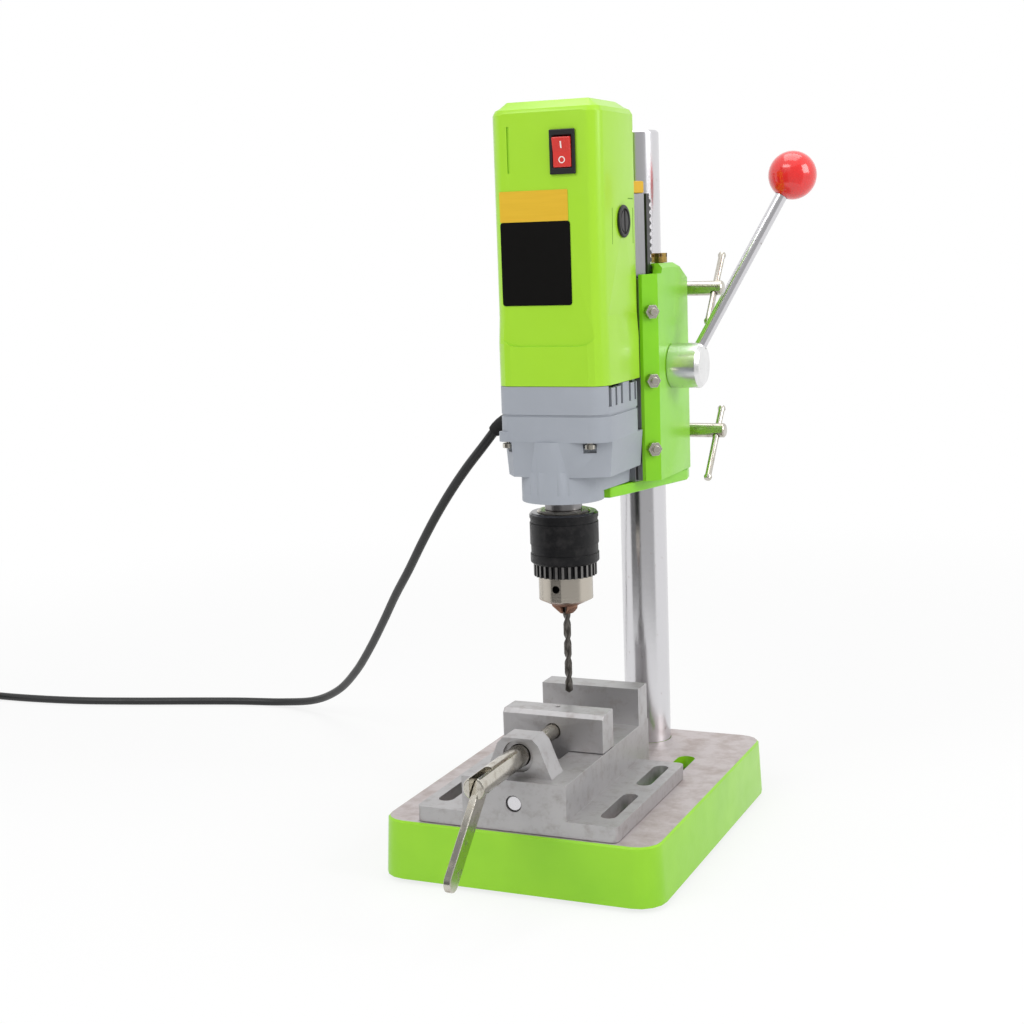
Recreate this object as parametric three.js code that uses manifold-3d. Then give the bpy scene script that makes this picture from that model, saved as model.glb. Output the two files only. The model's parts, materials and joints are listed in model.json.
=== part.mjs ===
// A small benchtop drill press: a cast base with a drill vise, a round column, a bracket
// clamped to the column, and a motor head that a rack and pinion lowers on a dovetail slide.
// Millimetres, +Z up, the front towards -Y. The origin lies under the middle of the base,
// on the surface that the rubber feet stand on.

import * as THREE from "three";
import { mergeVertices } from "three/addons/utils/BufferGeometryUtils.js";
import Module from "manifold-3d";

const wasm = await Module();
wasm.setup();

// Clearances and facets
const GAP = 0.3;
const OVERRUN = 1;
const WELD = 0.00001;
const LARGE_SIDES = 32;
const MEDIUM_SIDES = 20;
const SMALL_SIDES = 12;
const ARC_STEPS = 4;

// Base casting
const BASE_WIDTH = 181;
const BASE_DEPTH = 240;
const BASE_HEIGHT = 37;
const BASE_CORNER = 15;
const BASE_DRAFT = 2;
const BASE_EDGE = 1.2;
const BASE_PLATE = 8;
const BASE_WALL = 6;
const BASE_RIB = 5;
const BASE_RIB_DEPTH = 12;
const BASE_CROSS_RIB_Y = 76;
const BASE_LONG_RIB_X = 34;
const TABLE_SLOT_X = 54;
const TABLE_SLOT_WIDTH = 12;
const TABLE_SLOT_LENGTH = 120;
const TABLE_HOLE_RADIUS = 9;
const COLUMN_BOSS_RADIUS = 26;
const COLUMN_SOCKET_DEPTH = 21;
const COLUMN_FLOOR = 6;

// Rubber feet
const FOOT_SHOW = 3;
const FOOT_RADIUS = 10;
const FOOT_SINK = 5;
const FOOT_BOSS_WALL = 3;
const FOOT_STEM_RADIUS = 3.6;
const FOOT_STEM_LENGTH = 9;
const FOOT_INSET_X = 16.5;
const FOOT_INSET_Y = 17;

// Column and the bolt that holds it down
const COLUMN_X = 12.5;
const COLUMN_INSET = 24;
const COLUMN_Y = BASE_DEPTH / 2 - COLUMN_INSET;
const COLUMN_RADIUS = 16;
const COLUMN_LENGTH = 444.7;
const COLUMN_CHAMFER = 1.5;
const BOLT_RADIUS = 5;
const BOLT_FLATS = 16;
const BOLT_HEAD = 6.4;
const BOLT_WASHER = 1.9;
const BOLT_WASHER_RADIUS = 12;
const BOLT_GRIP_IN_COLUMN = 20;

// Drill vise, measured from the front of its body
const VISE_FRONT_Y = -117;
const VISE_WIDTH = 132;
const VISE_FLANGE = 9.7;
const VISE_FLANGE_DEPTH = 131;
const VISE_FLANGE_CORNER = 4;
const VISE_SLOT_WIDTH = 10;
const VISE_FRONT_SLOT_START = 14;
const VISE_FRONT_SLOT_LENGTH = 48;
const VISE_REAR_SLOT_START = 79;
const VISE_REAR_SLOT_LENGTH = 43;
const VISE_BODY_WIDTH = 68.6;
const VISE_BODY_DEPTH = 151;
const VISE_RAIL_HEIGHT = 32.2;
const VISE_JAW_HEIGHT = 25;
const VISE_JAW_THICKNESS = 19;
const VISE_JAW_CHAMFER = 2.7;
const VISE_JAW_GAP = 48;
const VISE_FIXED_JAW_THICKNESS = 17;
const VISE_FIXED_JAW_FROM_REAR = 2;
const VISE_CHANNEL_WIDTH = 22;
const VISE_FRONT_BLOCK = 49;
const VISE_TOWER_START = 9;
const VISE_TOWER_DEPTH = 18;
const VISE_TOWER_HEIGHT = 24;
const VISE_TOWER_FOOT = 44;
const VISE_TOWER_HEAD = 27;
const VISE_TOWER_ROUND = 4;
const VISE_SCREW_ABOVE_RAIL = 12.5;
const VISE_SCREW_RADIUS = 6.8;
const VISE_SCREW_FRONT = 56;
const VISE_SCREW_THREAD = 85;
const VISE_SCREW_SHANK_RADIUS = 4.8;
const VISE_SCREW_SHANK_SINK = 8;
const VISE_SCREW_COUNTERBORE_RADIUS = 10;
const VISE_SCREW_COUNTERBORE_DEPTH = 3;
const VISE_SCREW_CLEARANCE = 0.4;
const VISE_SCREW_FORK_LENGTH = 22;
const VISE_SCREW_CHAMFER = 0.8;
const VISE_PIN_FROM_TIP = 10;
const VISE_PIN_DROP = 3;
const VISE_PIN_RADIUS = 2;
const VISE_HANDLE_THICKNESS = 4.4;
const VISE_HANDLE_WIDTH = 11.5;
const VISE_HANDLE_REACH = 59.5;
const VISE_HANDLE_ANGLE = THREE.MathUtils.degToRad(43);
const VISE_ROD_RADIUS = 5;
const VISE_ROD_HEIGHT = 17.7;
const VISE_ROD_LENGTH = 80;
const VISE_ROD_SETBACK = 1;
const VISE_ROD_CHAMFER = 0.6;
const VISE_TONGUE_BOTTOM = 7;
const VISE_GRUB_RADIUS = 1.8;
const VISE_GRUB_DEPTH = 7;
const VISE_GRUB_FROM_REAR = 5;

// Bracket on the column, measured from the column's axis and the bracket's underside
const BRACKET_RISE = 194.3;
const BRACKET_HEIGHT = 141.5;
const BRACKET_HALF_WIDTH = 32.5;
const BRACKET_FRONT = 63;
const BRACKET_FRONT_HEIGHT = 135.2;
const BRACKET_REAR_HEIGHT = 131;
const BRACKET_STEP_FROM_FRONT = 16;
const BRACKET_STEP_RUN = 4;
const BRACKET_SLOPE_START = -14;
const BRACKET_SIDE_BACK = 7;
const BRACKET_ROUND_DEPTH = 19;
const BRACKET_CHAMFER = 8;
const BRACKET_TOP_CHAMFER = 3;
const BRACKET_EAR_HALF = 11.5;
const BRACKET_EAR_BACK = 42;
const BRACKET_SLIT = 2.6;
const BUSH_WALL = 1.5;

// Dovetail slide, rack and gib
const SLIDE_LENGTH = 187;
const SLIDE_PROUD = 1.7;
const SLIDE_NECK_HALF = 18;
const SLIDE_NECK_DEPTH = 2;
const SLIDE_BACK_HALF = 24;
const SLIDE_FLARE_DEPTH = 9.7;
const GIB_THICKNESS = 3;
const GIB_SHORTER = 9;
const GIB_SCREW_RADIUS = 2.5;
const GIB_SCREW_PROUD = 2;
const GIB_NUT_RADIUS = 5;
const GIB_NUT_HEIGHT = 3.5;
const GIB_SCREW_PITCH = 44.9;
const GIB_SCREW_LOWEST = 21.2;
const GEAR_MODULE = 1.5;
const ADDENDUM_SHARE = 0.9;
const DEDENDUM_SHARE = 1.25;
const PRESSURE_ANGLE = THREE.MathUtils.degToRad(20);
const BACKLASH = 0.4;
const PINION_TEETH = 24;
const PINION_WIDTH = 6.4;
const PINION_SIDE_X = 19.8;
const PINION_HEIGHT = 73.5;
const PINION_BEHIND_FRONT = 36;
const PINION_SHAFT_RADIUS = 6;
const RACK_WIDTH = 6.5;
const RACK_LEAD_X = 1.1;
const RACK_LENGTH = 159;
const RACK_STOP_HEIGHT = 7.7;
const RACK_STOP_WIDTH = 9;
const OIL_PLUG_X = 23.5;
const OIL_PLUG_Y = -24;
const OIL_PLUG_RADIUS = 5.3;
const OIL_PLUG_HEIGHT = 6.2;
const OIL_PLUG_STEM_RADIUS = 3;
const OIL_PLUG_STEM = 5;
const OIL_PLUG_SLOTS = 6;
const OIL_PLUG_SLOT_WIDTH = 2;
const OIL_PLUG_SLOT_DEPTH = 2.6;
const OIL_PLUG_BORE = 2.4;

// Return spring and its cup, on the left end of the pinion shaft
const CUP_RADIUS = 20;
const CUP_DEPTH = 15.7;
const CUP_WALL = 2;
const SPRING_TURNS = 3;
const SPRING_STRIP = 0.9;
const SPRING_INNER = 7.6;
const SPRING_OUTER = 16.4;
const SPRING_SIDE_GAP = 1;

// Feed lever
const LEVER_HUB_LENGTH = 21.7;
const LEVER_HUB_RADIUS = 15;
const LEVER_HUB_CHAMFER = 2.5;
const LEVER_ROD_FROM_FACE = 12;
const LEVER_LEAN = THREE.MathUtils.degToRad(18.6);
const LEVER_SPLAY = THREE.MathUtils.degToRad(25);
const LEVER_REACH = 142.5;
const LEVER_ROD_RADIUS = 4;
const LEVER_ROD_SEAT = 4;
const LEVER_BALL_RADIUS = 16;
const LEVER_BALL_SEAT = 4;

// Clamp screws through the ears behind the column
const CLAMP_FROM_AXIS = 30;
const CLAMP_LOW = 23.2;
const CLAMP_HIGH = 122.2;
const CLAMP_RADIUS = 5;
const CLAMP_THREAD_RADIUS = 3.9;
const CLAMP_REACH = 51.5;
const CLAMP_BAR_FROM_END = 6;
const CLAMP_BAR_RADIUS = 2.25;
const CLAMP_BAR_LENGTH = 60;
const CLAMP_BAR_HEAD = 2.9;
const CLAMP_BAR_HEAD_LENGTH = 2;
const CLAMP_BAR_LEAN = THREE.MathUtils.degToRad(39);
const CLAMP_LOW_BAR_SHIFT = -10;

// Shelf under the head, from the column's axis
const SHELF_THICKNESS = 7.3;
const SHELF_GAP = 0.5;
const SHELF_ROUND = 32.5;
const SHELF_HOLE_RADIUS = 17.5;
const SHELF_HEAD_HALF = 30;
const SHELF_NOSE_HALF = 18;
const SHELF_SHOULDER_FROM_SPINDLE = 35;
const SHELF_TIP_FROM_SPINDLE = 19.5;

// Motor head, measured from the spindle's axis and the nose collar's lower face
const SPINDLE_X = -4;
const SPINDLE_REACH = 108;
const SPINDLE_Y = COLUMN_Y - SPINDLE_REACH;
const NOSE_DROP = 5.8;
const HEAD_WIDTH = 74;
const HEAD_DEPTH = 68;
const HEAD_CORNER = 11;
const HEAD_OFFSET_X = 3;
const HEAD_OFFSET_Y = 9;
const COLLAR_RADIUS = 26.4;
const COLLAR_HEIGHT = 17;
const APRON_LEVEL = 19.5;
const SHOULDER_LEVEL = 39.5;
const SEAM_LEVEL = 74.5;
const PART_LINE_LEVEL = 55.5;
const PART_LINE_WIDTH = 1.4;
const PART_LINE_DEPTH = 0.7;
const APRON_LEFT_CUT_X = 10;
const APRON_LEFT_CUT_Y = 13;
const APRON_RIGHT_CUT_X = 25;
const APRON_RIGHT_CUT_Y = 11;
const APRON_TAPER = 2;
const TONGUE_HALF = 27;
const TONGUE_LEVEL = 5.9;
const HOUSING_WALL = 3;
const GEAR_CHAMBER_FLOOR = 24;
const HOUSING_SCREW_RADIUS = 3.6;
const HOUSING_SCREW_HEIGHT = 3;
const HOUSING_SCREW_SHANK = 2;
const HOUSING_SCREW_SINK = 6.5;
const HOUSING_POST_RADIUS = 5.5;
const HOUSING_SCREW_LEFT_X = -28.8;
const HOUSING_SCREW_RIGHT_X = 27;
const HOUSING_SCREW_FROM_FRONT = 5.4;
const VENT_LEVEL = 61.5;
const VENT_HEIGHT = 15;
const VENT_BAR = 3.6;
const VENT_SLOT_WIDTH = 3.4;
const VENT_GROUP_LENGTH = 24;
const VENT_SLOTS = 3;
const VENT_FRONT_START = 8;
const VENT_REAR_START = 43.5;

// Motor cover
const COVER_HEIGHT = 175.3;
const COVER_SKIRT = 27;
const COVER_SKIRT_TAPER = 16;
const COVER_SKIRT_PROUD = 0.8;
const COVER_CROWN = 3.5;
const COVER_EDGE = 4.5;
const COVER_WALL = 2.6;
const PANEL_DEPTH = 1.2;
const PANEL_BOTTOM = 25;
const PANEL_LEFT = 34;
const PANEL_RIGHT = 33.5;
const PANEL_ROUND = 13;
const GROOVE_X = 24;
const GROOVE_WIDTH = 1.6;
const GROOVE_DEPTH = 1;
const GROOVE_BOTTOM = 132;
const GROOVE_LENGTH = 28;

// Rocker switch in the cover
const SWITCH_X = 13.2;
const SWITCH_INSET = 18.3;
const SWITCH_WIDTH = 16.8;
const SWITCH_HEIGHT = 27;
const SWITCH_PROUD = 1.6;
const SWITCH_FRAME = 2.2;
const SWITCH_FRAME_END = 3.8;
const SWITCH_BODY_DEPTH = 14;
const SWITCH_STOP = 6;
const ROCKER_TILT = THREE.MathUtils.degToRad(7);
const ROCKER_THICKNESS = 4;
const ROCKER_PROUD = 1.7;

// Brush caps on both sides
const BRUSH_LEVEL = 100.6;
const BRUSH_CAP_RADIUS = 10.2;
const BRUSH_CAP_PROUD = 1.6;
const BRUSH_STEM_RADIUS = 6;
const BRUSH_STEM = 9;
const BRUSH_SLOT_WIDTH = 2;
const BRUSH_SLOT_DEPTH = 1;

// Motor and gears inside the head
const SPINDLE_GEAR_MODULE = 0.75;
const SPINDLE_GEAR_TEETH = 36;
const MOTOR_GEAR_TEETH = 8;
const SPINDLE_GEAR_BACKLASH = 0.4;
const SPINDLE_GEAR_LEVEL = 30;
const SPINDLE_GEAR_WIDTH = 8;
const MOTOR_GEAR_LEVEL = 29;
const MOTOR_GEAR_WIDTH = 10;
const PLATE_LEVEL = 46;
const PLATE_THICKNESS = 7;
const BEARING_RADIUS = 9.5;
const BEARING_WIDTH = 7;
const MOTOR_SHAFT_RADIUS = 4;
const MOTOR_SHAFT_TOP = 212;
const FAN_LEVEL = 58;
const FAN_HEIGHT = 9;
const FAN_RADIUS = 22;
const FAN_DISC = 2;
const FAN_BLADES = 9;
const FAN_BLADE_WIDTH = 1.6;
const CORE_LEVEL = 82;
const CORE_LENGTH = 55;
const CORE_RADIUS = 17.5;
const CORE_SLOTS = 12;
const CORE_SLOT_WIDTH = 2.4;
const CORE_SLOT_DEPTH = 6;
const COMMUTATOR_LEVEL = 163;
const COMMUTATOR_LENGTH = 24;
const COMMUTATOR_RADIUS = 11;
const STATOR_GAP = 0.8;
const STATOR_BACK = 3;
const UPPER_BEARING_LEVEL = 203;
const BEARING_SEAT_WALL = 3;
const SPINDLE_BEARING_RADIUS = 14;
const SPINDLE_BEARING_WIDTH = 11;
const SPINDLE_BEARING_LEVEL = 5;
const SPINDLE_RADIUS = 8.5;
const SPINDLE_COLLAR_RADIUS = 12;
const SPINDLE_TOP_RADIUS = 5;
const SPINDLE_THREAD_RADIUS = 5.8;
const SPINDLE_THREAD = 22;

// Keyed drill chuck and drill bit, below the nose collar
const CHUCK_DROP = 6.5;
const CHUCK_RING_RADIUS = 16.5;
const CHUCK_LENGTH = 63.2;
const CHUCK_BODY_RADIUS = 17.6;
const CHUCK_SLEEVE_RADIUS = 22.3;
const CHUCK_SLEEVE_TOP = 1;
const CHUCK_SLEEVE_LENGTH = 33.7;
const CHUCK_SLEEVE_EDGE = 1.2;
const CHUCK_SLEEVE_BAND = 0.5;
const CHUCK_BAND_TOP_SHARE = 0.2;
const CHUCK_BAND_BOTTOM_SHARE = 0.62;
const CHUCK_BAND_WIDTH = 6;
const CHUCK_TOOTH_RING = 8.8;
const CHUCK_TOOTH_RING_RADIUS = 20.5;
const CHUCK_TEETH = 30;
const CHUCK_TOOTH_DEPTH = 1.8;
const CHUCK_CONE = 4.6;
const CHUCK_CONE_RADIUS = 8;
const CHUCK_KEY_HOLE_RADIUS = 2.6;
const CHUCK_KEY_HOLE_LEVEL = 50;
const CHUCK_KEY_HOLE_DEPTH = 5;
const CHUCK_BORE_RADIUS = 6.6;
const JAW_LENGTH = 18;
const JAW_PROUD = 5.3;
const JAW_RADIUS = 3.6;
const JAW_TIP_X = 4.6;
const JAW_LEAN = THREE.MathUtils.degToRad(13);
const JAW_TRAVEL = 17.7;
const BIT_RADIUS = 2.5;
const BIT_LENGTH = 86;
const BIT_FLUTE_LENGTH = 52;
const BIT_FLUTE_PITCH = 26;
const BIT_POINT = 1.6;
const BIT_TIP_DROP = 128.9;
const BIT_STEPS_PER_TURN = 16;
const BIT_WEB_SHARE = 0.42;
const BIT_LAND_SHARES = [-1 / 2, 1 / 3];
const BIT_FLUTE_SHARES = [0.75, 1.1];

// Mains cord
const CORD_DIAMETER = 6.4;
const CORD_SIDES = 8;
const CORD_STEPS = 56;
const RELIEF_LEVEL = 49.5;
const RELIEF_Y = 27;
const RELIEF_STUB = 4;
const RELIEF_BEND_RADIUS = 28;
const RELIEF_BEND = THREE.MathUtils.degToRad(50);
const RELIEF_ROOT_RADIUS = 6.5;
const RELIEF_TIP_RADIUS = 4.4;
const RELIEF_STEPS = 7;
const COIL_X = -668;
const COIL_Y = 118;
const COIL_OUTER_RADIUS = 42.8;
const COIL_TURNS = 4.3;
const COIL_START = THREE.MathUtils.degToRad(90);
const COIL_STEP_OUT = 7;
const COIL_LAYER_RISE = 7.1;
const COIL_STEPS_PER_TURN = 24;
const COIL_SIDES = 6;
const CORD_LIFT = 0.2;
const PLUG_LENGTH = 34;
const PLUG_WIDTH = 27;
const PLUG_HEIGHT = 20.4;
const PLUG_CORNER = 6;
const PLUG_NECK_LENGTH = 30;
const PLUG_NECK_RADIUS = 4.6;
const PLUG_PIN_RADIUS = 2;
const PLUG_PIN_LENGTH = 19;
const PLUG_PIN_SPACING = 19;

// The free stretch of the cord, from the strain relief down to the bench and along it
const CORD_POINTS = [
  [-72.3, 15.6, 257.8],
  [-87, 20, 242.5],
  [-103, 27, 225],
  [-120, 36, 205],
  [-138, 48, 183],
  [-157, 63, 160],
  [-178, 81, 137],
  [-201, 103, 111],
  [-227, 128, 83],
  [-257, 156, 54],
  [-291, 184, 28],
  [-327, 205, 11],
  [-364, 214, 4.2],
  [-404, 208, 3.4],
  [-446, 196, 3.4],
  [-496, 181, 3.4],
  [-548, 168, 3.4],
  [-602, 161.5, 3.4],
  [-645, 160.8, 3.4],
];

// Values worked out from the sizes above
const baseTop = FOOT_SHOW + BASE_HEIGHT;
const columnFoot = baseTop - COLUMN_SOCKET_DEPTH;
const bracketBottom = baseTop + BRACKET_RISE;
const noseLevel = bracketBottom - NOSE_DROP;
const bushRadius = COLUMN_RADIUS + GAP + BUSH_WALL;
const bracketBore = bushRadius + GAP;
const slideFront = BRACKET_FRONT + SLIDE_PROUD;
const slideNeckBack = slideFront - SLIDE_NECK_DEPTH;
const slideBack = slideNeckBack - SLIDE_FLARE_DEPTH;
const pinionBack = BRACKET_FRONT - PINION_BEHIND_FRONT;
const pinionRadius = (GEAR_MODULE * PINION_TEETH) / 2;
const rackBack = slideBack - GAP;
const housingBack = HEAD_OFFSET_Y + HEAD_DEPTH / 2;
const gearDistance = (SPINDLE_GEAR_MODULE * (SPINDLE_GEAR_TEETH + MOTOR_GEAR_TEETH)) / 2;
const motorY = Math.sqrt(gearDistance ** 2 - HEAD_OFFSET_X ** 2);

const LIME = [0xa6e038, 0.38, 0];
const LIME_CAST = [0x8fdc2c, 0.42, 0.05];
const MILLED = [0xb9b5b4, 0.45, 0.85];
const CHROME = [0xd8dadd, 0.16, 1];
const NICKEL = [0xb7b5ab, 0.32, 0.95];
const STEEL = [0x8e8e90, 0.38, 0.95];
const DARK_STEEL = [0x4a4a4c, 0.45, 0.9];
const GREY_PLASTIC = [0x9a9fa5, 0.5, 0];
const BLACK_RUBBER = [0x161617, 0.7, 0];
const BLACK_PLASTIC = [0x121213, 0.4, 0];
const BLACK_SLEEVE = [0x1c1c1e, 0.35, 0.3];
const RED_PLASTIC = [0xe02626, 0.25, 0];
const BRASS = [0xc79a3c, 0.35, 0.9];
const COPPER = [0xb06a3a, 0.4, 0.9];

// Solids

function asSolid(geometry) {
  const bare = new THREE.BufferGeometry();
  bare.setAttribute("position", geometry.getAttribute("position"));
  bare.setIndex(geometry.index);
  const welded = mergeVertices(bare, WELD);
  const corners = Array.from(welded.index.array);
  const kept = [];
  // Triangles that closed up on the axis of a revolve are left out
  for (let i = 0; i < corners.length; i += 3) {
    const [a, b, c] = corners.slice(i, i + 3);
    if (a !== b && b !== c && c !== a) kept.push(a, b, c);
  }
  return new wasm.Manifold(
    new wasm.Mesh({
      numProp: 3,
      vertProperties: Float32Array.from(welded.getAttribute("position").array),
      triVerts: Uint32Array.from(kept),
    }),
  );
}

function asGeometry(solid) {
  const mesh = solid.getMesh();
  const geometry = new THREE.BufferGeometry();
  geometry.setAttribute("position", new THREE.BufferAttribute(mesh.vertProperties, 3));
  geometry.setIndex(new THREE.BufferAttribute(mesh.triVerts, 1));
  return geometry;
}

function join(first, ...others) {
  return asGeometry(others.reduce((sum, next) => sum.add(asSolid(next)), asSolid(first)));
}

function cut(body, ...tools) {
  return asGeometry(tools.reduce((rest, tool) => rest.subtract(asSolid(tool)), asSolid(body)));
}

function common(first, second) {
  return asGeometry(asSolid(first).intersect(asSolid(second)));
}

// A block between two opposite corners
function block(left, right, front, back, bottom, top) {
  const geometry = new THREE.BoxGeometry(right - left, back - front, top - bottom);
  return geometry.translate((left + right) / 2, (front + back) / 2, (bottom + top) / 2);
}

// An upright cylinder
function disc(radius, bottom, top, sides = LARGE_SIDES) {
  const geometry = new THREE.CylinderGeometry(radius, radius, top - bottom, sides);
  return geometry.rotateX(Math.PI / 2).translate(0, 0, (bottom + top) / 2);
}

// A turned solid from [radius, level] pairs that rise along the outside
function turned(profile, sides = LARGE_SIDES) {
  const points = profile.map(([radius, level]) => new THREE.Vector2(radius, level));
  return new THREE.LatheGeometry(points, sides).rotateX(Math.PI / 2);
}

function outlineShape(points) {
  return new THREE.Shape(points.map(([x, y]) => new THREE.Vector2(x, y)));
}

// An outline in X and Y, raised between two levels
function prism(points, bottom, top) {
  const settings = { depth: top - bottom, bevelEnabled: false };
  return new THREE.ExtrudeGeometry(outlineShape(points), settings).translate(0, 0, bottom);
}

// An outline in X and Z, drawn along Y
function prismAlongY(points, front, back) {
  return prism(points, -back, -front).rotateX(Math.PI / 2);
}

// An outline in Y and Z, drawn along X
function prismAlongX(points, left, right) {
  const turn = new THREE.Matrix4().makeBasis(
    new THREE.Vector3(0, 1, 0),
    new THREE.Vector3(0, 0, 1),
    new THREE.Vector3(1, 0, 0),
  );
  return prism(points, left, right).applyMatrix4(turn);
}

// Upright solids laid down: Z turns to +X, or to +Y
function alongX(geometry) {
  return geometry.rotateY(Math.PI / 2);
}

function alongY(geometry) {
  return geometry.rotateX(-Math.PI / 2);
}

function arc(centreX, centreY, radius, from, to, steps = ARC_STEPS) {
  return Array.from({ length: steps + 1 }, (_, i) => {
    const angle = from + ((to - from) * i) / steps;
    return [centreX + radius * Math.cos(angle), centreY + radius * Math.sin(angle)];
  });
}

function roundedRect(width, depth, radius, centreX = 0, centreY = 0) {
  const quarter = Math.PI / 2;
  const x = width / 2 - radius;
  const y = depth / 2 - radius;
  const corners = [[x, y], [-x, y], [-x, -y], [x, -y]];
  return corners.flatMap(([cornerX, cornerY], i) =>
    arc(centreX + cornerX, centreY + cornerY, radius, i * quarter, (i + 1) * quarter));
}

function slotOutline(x, front, length, width) {
  return roundedRect(width, length, width / 2, x, front + length / 2);
}

// Outlines with equal counts of points, stacked at rising levels and skinned
function lofted(rings) {
  const count = rings[0].outline.length;
  const positions = rings.flatMap(({ outline, level }) => outline.flatMap(([x, y]) => [x, y, level]));
  const index = [];
  for (let ring = 0; ring + 1 < rings.length; ring += 1) {
    for (let i = 0; i < count; i += 1) {
      const a = ring * count + i;
      const b = ring * count + ((i + 1) % count);
      index.push(a, b, b + count, a, b + count, a + count);
    }
  }
  const last = (rings.length - 1) * count;
  for (const [a, b, c] of THREE.ShapeUtils.triangulateShape(asVectors(rings[0].outline), [])) {
    index.push(c, b, a);
  }
  for (const [a, b, c] of THREE.ShapeUtils.triangulateShape(asVectors(rings.at(-1).outline), [])) {
    index.push(last + a, last + b, last + c);
  }
  const geometry = new THREE.BufferGeometry();
  geometry.setAttribute("position", new THREE.Float32BufferAttribute(positions, 3));
  geometry.setIndex(index);
  return geometry;
}

function asVectors(outline) {
  return outline.map(([x, y]) => new THREE.Vector2(x, y));
}

// A tube of varying radius through points, closed at both ends
function tubeThrough(points, radii, sides) {
  const up = new THREE.Vector3(0, 0, 1);
  const positions = [];
  points.forEach((point, i) => {
    const before = points[Math.max(i - 1, 0)];
    const after = points[Math.min(i + 1, points.length - 1)];
    const along = after.clone().sub(before).normalize();
    const side = new THREE.Vector3().crossVectors(up, along).normalize();
    const lift = new THREE.Vector3().crossVectors(along, side);
    for (let k = 0; k < sides; k += 1) {
      const angle = (2 * Math.PI * (k + 0.5)) / sides;
      const corner = point.clone()
        .addScaledVector(side, radii[i] * Math.cos(angle))
        .addScaledVector(lift, radii[i] * Math.sin(angle));
      positions.push(...corner.toArray());
    }
  });
  const index = [];
  for (let ring = 0; ring + 1 < points.length; ring += 1) {
    for (let k = 0; k < sides; k += 1) {
      const a = ring * sides + k;
      const b = ring * sides + ((k + 1) % sides);
      index.push(a, b, b + sides, a, b + sides, a + sides);
    }
  }
  const last = (points.length - 1) * sides;
  for (let k = 1; k + 1 < sides; k += 1) {
    index.push(0, k + 1, k);
    index.push(last, last + k, last + k + 1);
  }
  const geometry = new THREE.BufferGeometry();
  geometry.setAttribute("position", new THREE.Float32BufferAttribute(positions, 3));
  geometry.setIndex(index);
  return geometry;
}

// The outline of a spur gear with involute flanks, the first tooth on +X
function gearOutline(module, teeth, backlash, flankSteps) {
  const pitch = (module * teeth) / 2;
  const base = pitch * Math.cos(PRESSURE_ANGLE);
  const tip = pitch + module * ADDENDUM_SHARE;
  const root = pitch - module * DEDENDUM_SHARE;
  const involute = (angle) => Math.tan(angle) - angle;
  const halfAtPitch = Math.PI / (2 * teeth) - backlash / (2 * pitch);
  const start = Math.max(base, root);
  const flank = Array.from({ length: flankSteps + 1 }, (_, i) => {
    const radius = start + ((tip - start) * i) / flankSteps;
    const reach = involute(Math.acos(Math.min(1, base / radius)));
    return [radius, halfAtPitch + involute(PRESSURE_ANGLE) - reach];
  });
  const halfTooth = [[root, flank[0][1]], ...flank];
  const points = [];
  for (let tooth = 0; tooth < teeth; tooth += 1) {
    const middle = (2 * Math.PI * tooth) / teeth;
    halfTooth.forEach(([radius, half]) => points.push([radius, middle - half]));
    [...halfTooth].reverse().forEach(([radius, half]) => points.push([radius, middle + half]));
  }
  return points
    .filter(([radius, angle], i) => i === 0 || radius !== points[i - 1][0] || angle !== points[i - 1][1])
    .map(([radius, angle]) => [radius * Math.cos(angle), radius * Math.sin(angle)]);
}

const press = new THREE.Group();

function piece(name, geometry, [color, roughness, metalness], parent = press) {
  const closed = asGeometry(asSolid(geometry));
  closed.computeVertexNormals();
  const material = new THREE.MeshStandardMaterial({ color, roughness, metalness });
  const mesh = new THREE.Mesh(closed, material);
  mesh.name = name;
  parent.add(mesh);
  return mesh;
}

function groupAt(x, y, z, parent = press) {
  const group = new THREE.Group();
  group.position.set(x, y, z);
  parent.add(group);
  return group;
}

// Base, feet and column

function footPlaces() {
  const x = BASE_WIDTH / 2 - FOOT_INSET_X;
  const y = BASE_DEPTH / 2 - FOOT_INSET_Y;
  return [[-x, -y], [x, -y], [-x, y], [x, y]];
}

// The base's outline, smaller by an inset or, where that is below zero, larger
function baseOutline(inset) {
  return roundedRect(BASE_WIDTH - 2 * inset, BASE_DEPTH - 2 * inset, BASE_CORNER - inset);
}

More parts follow.
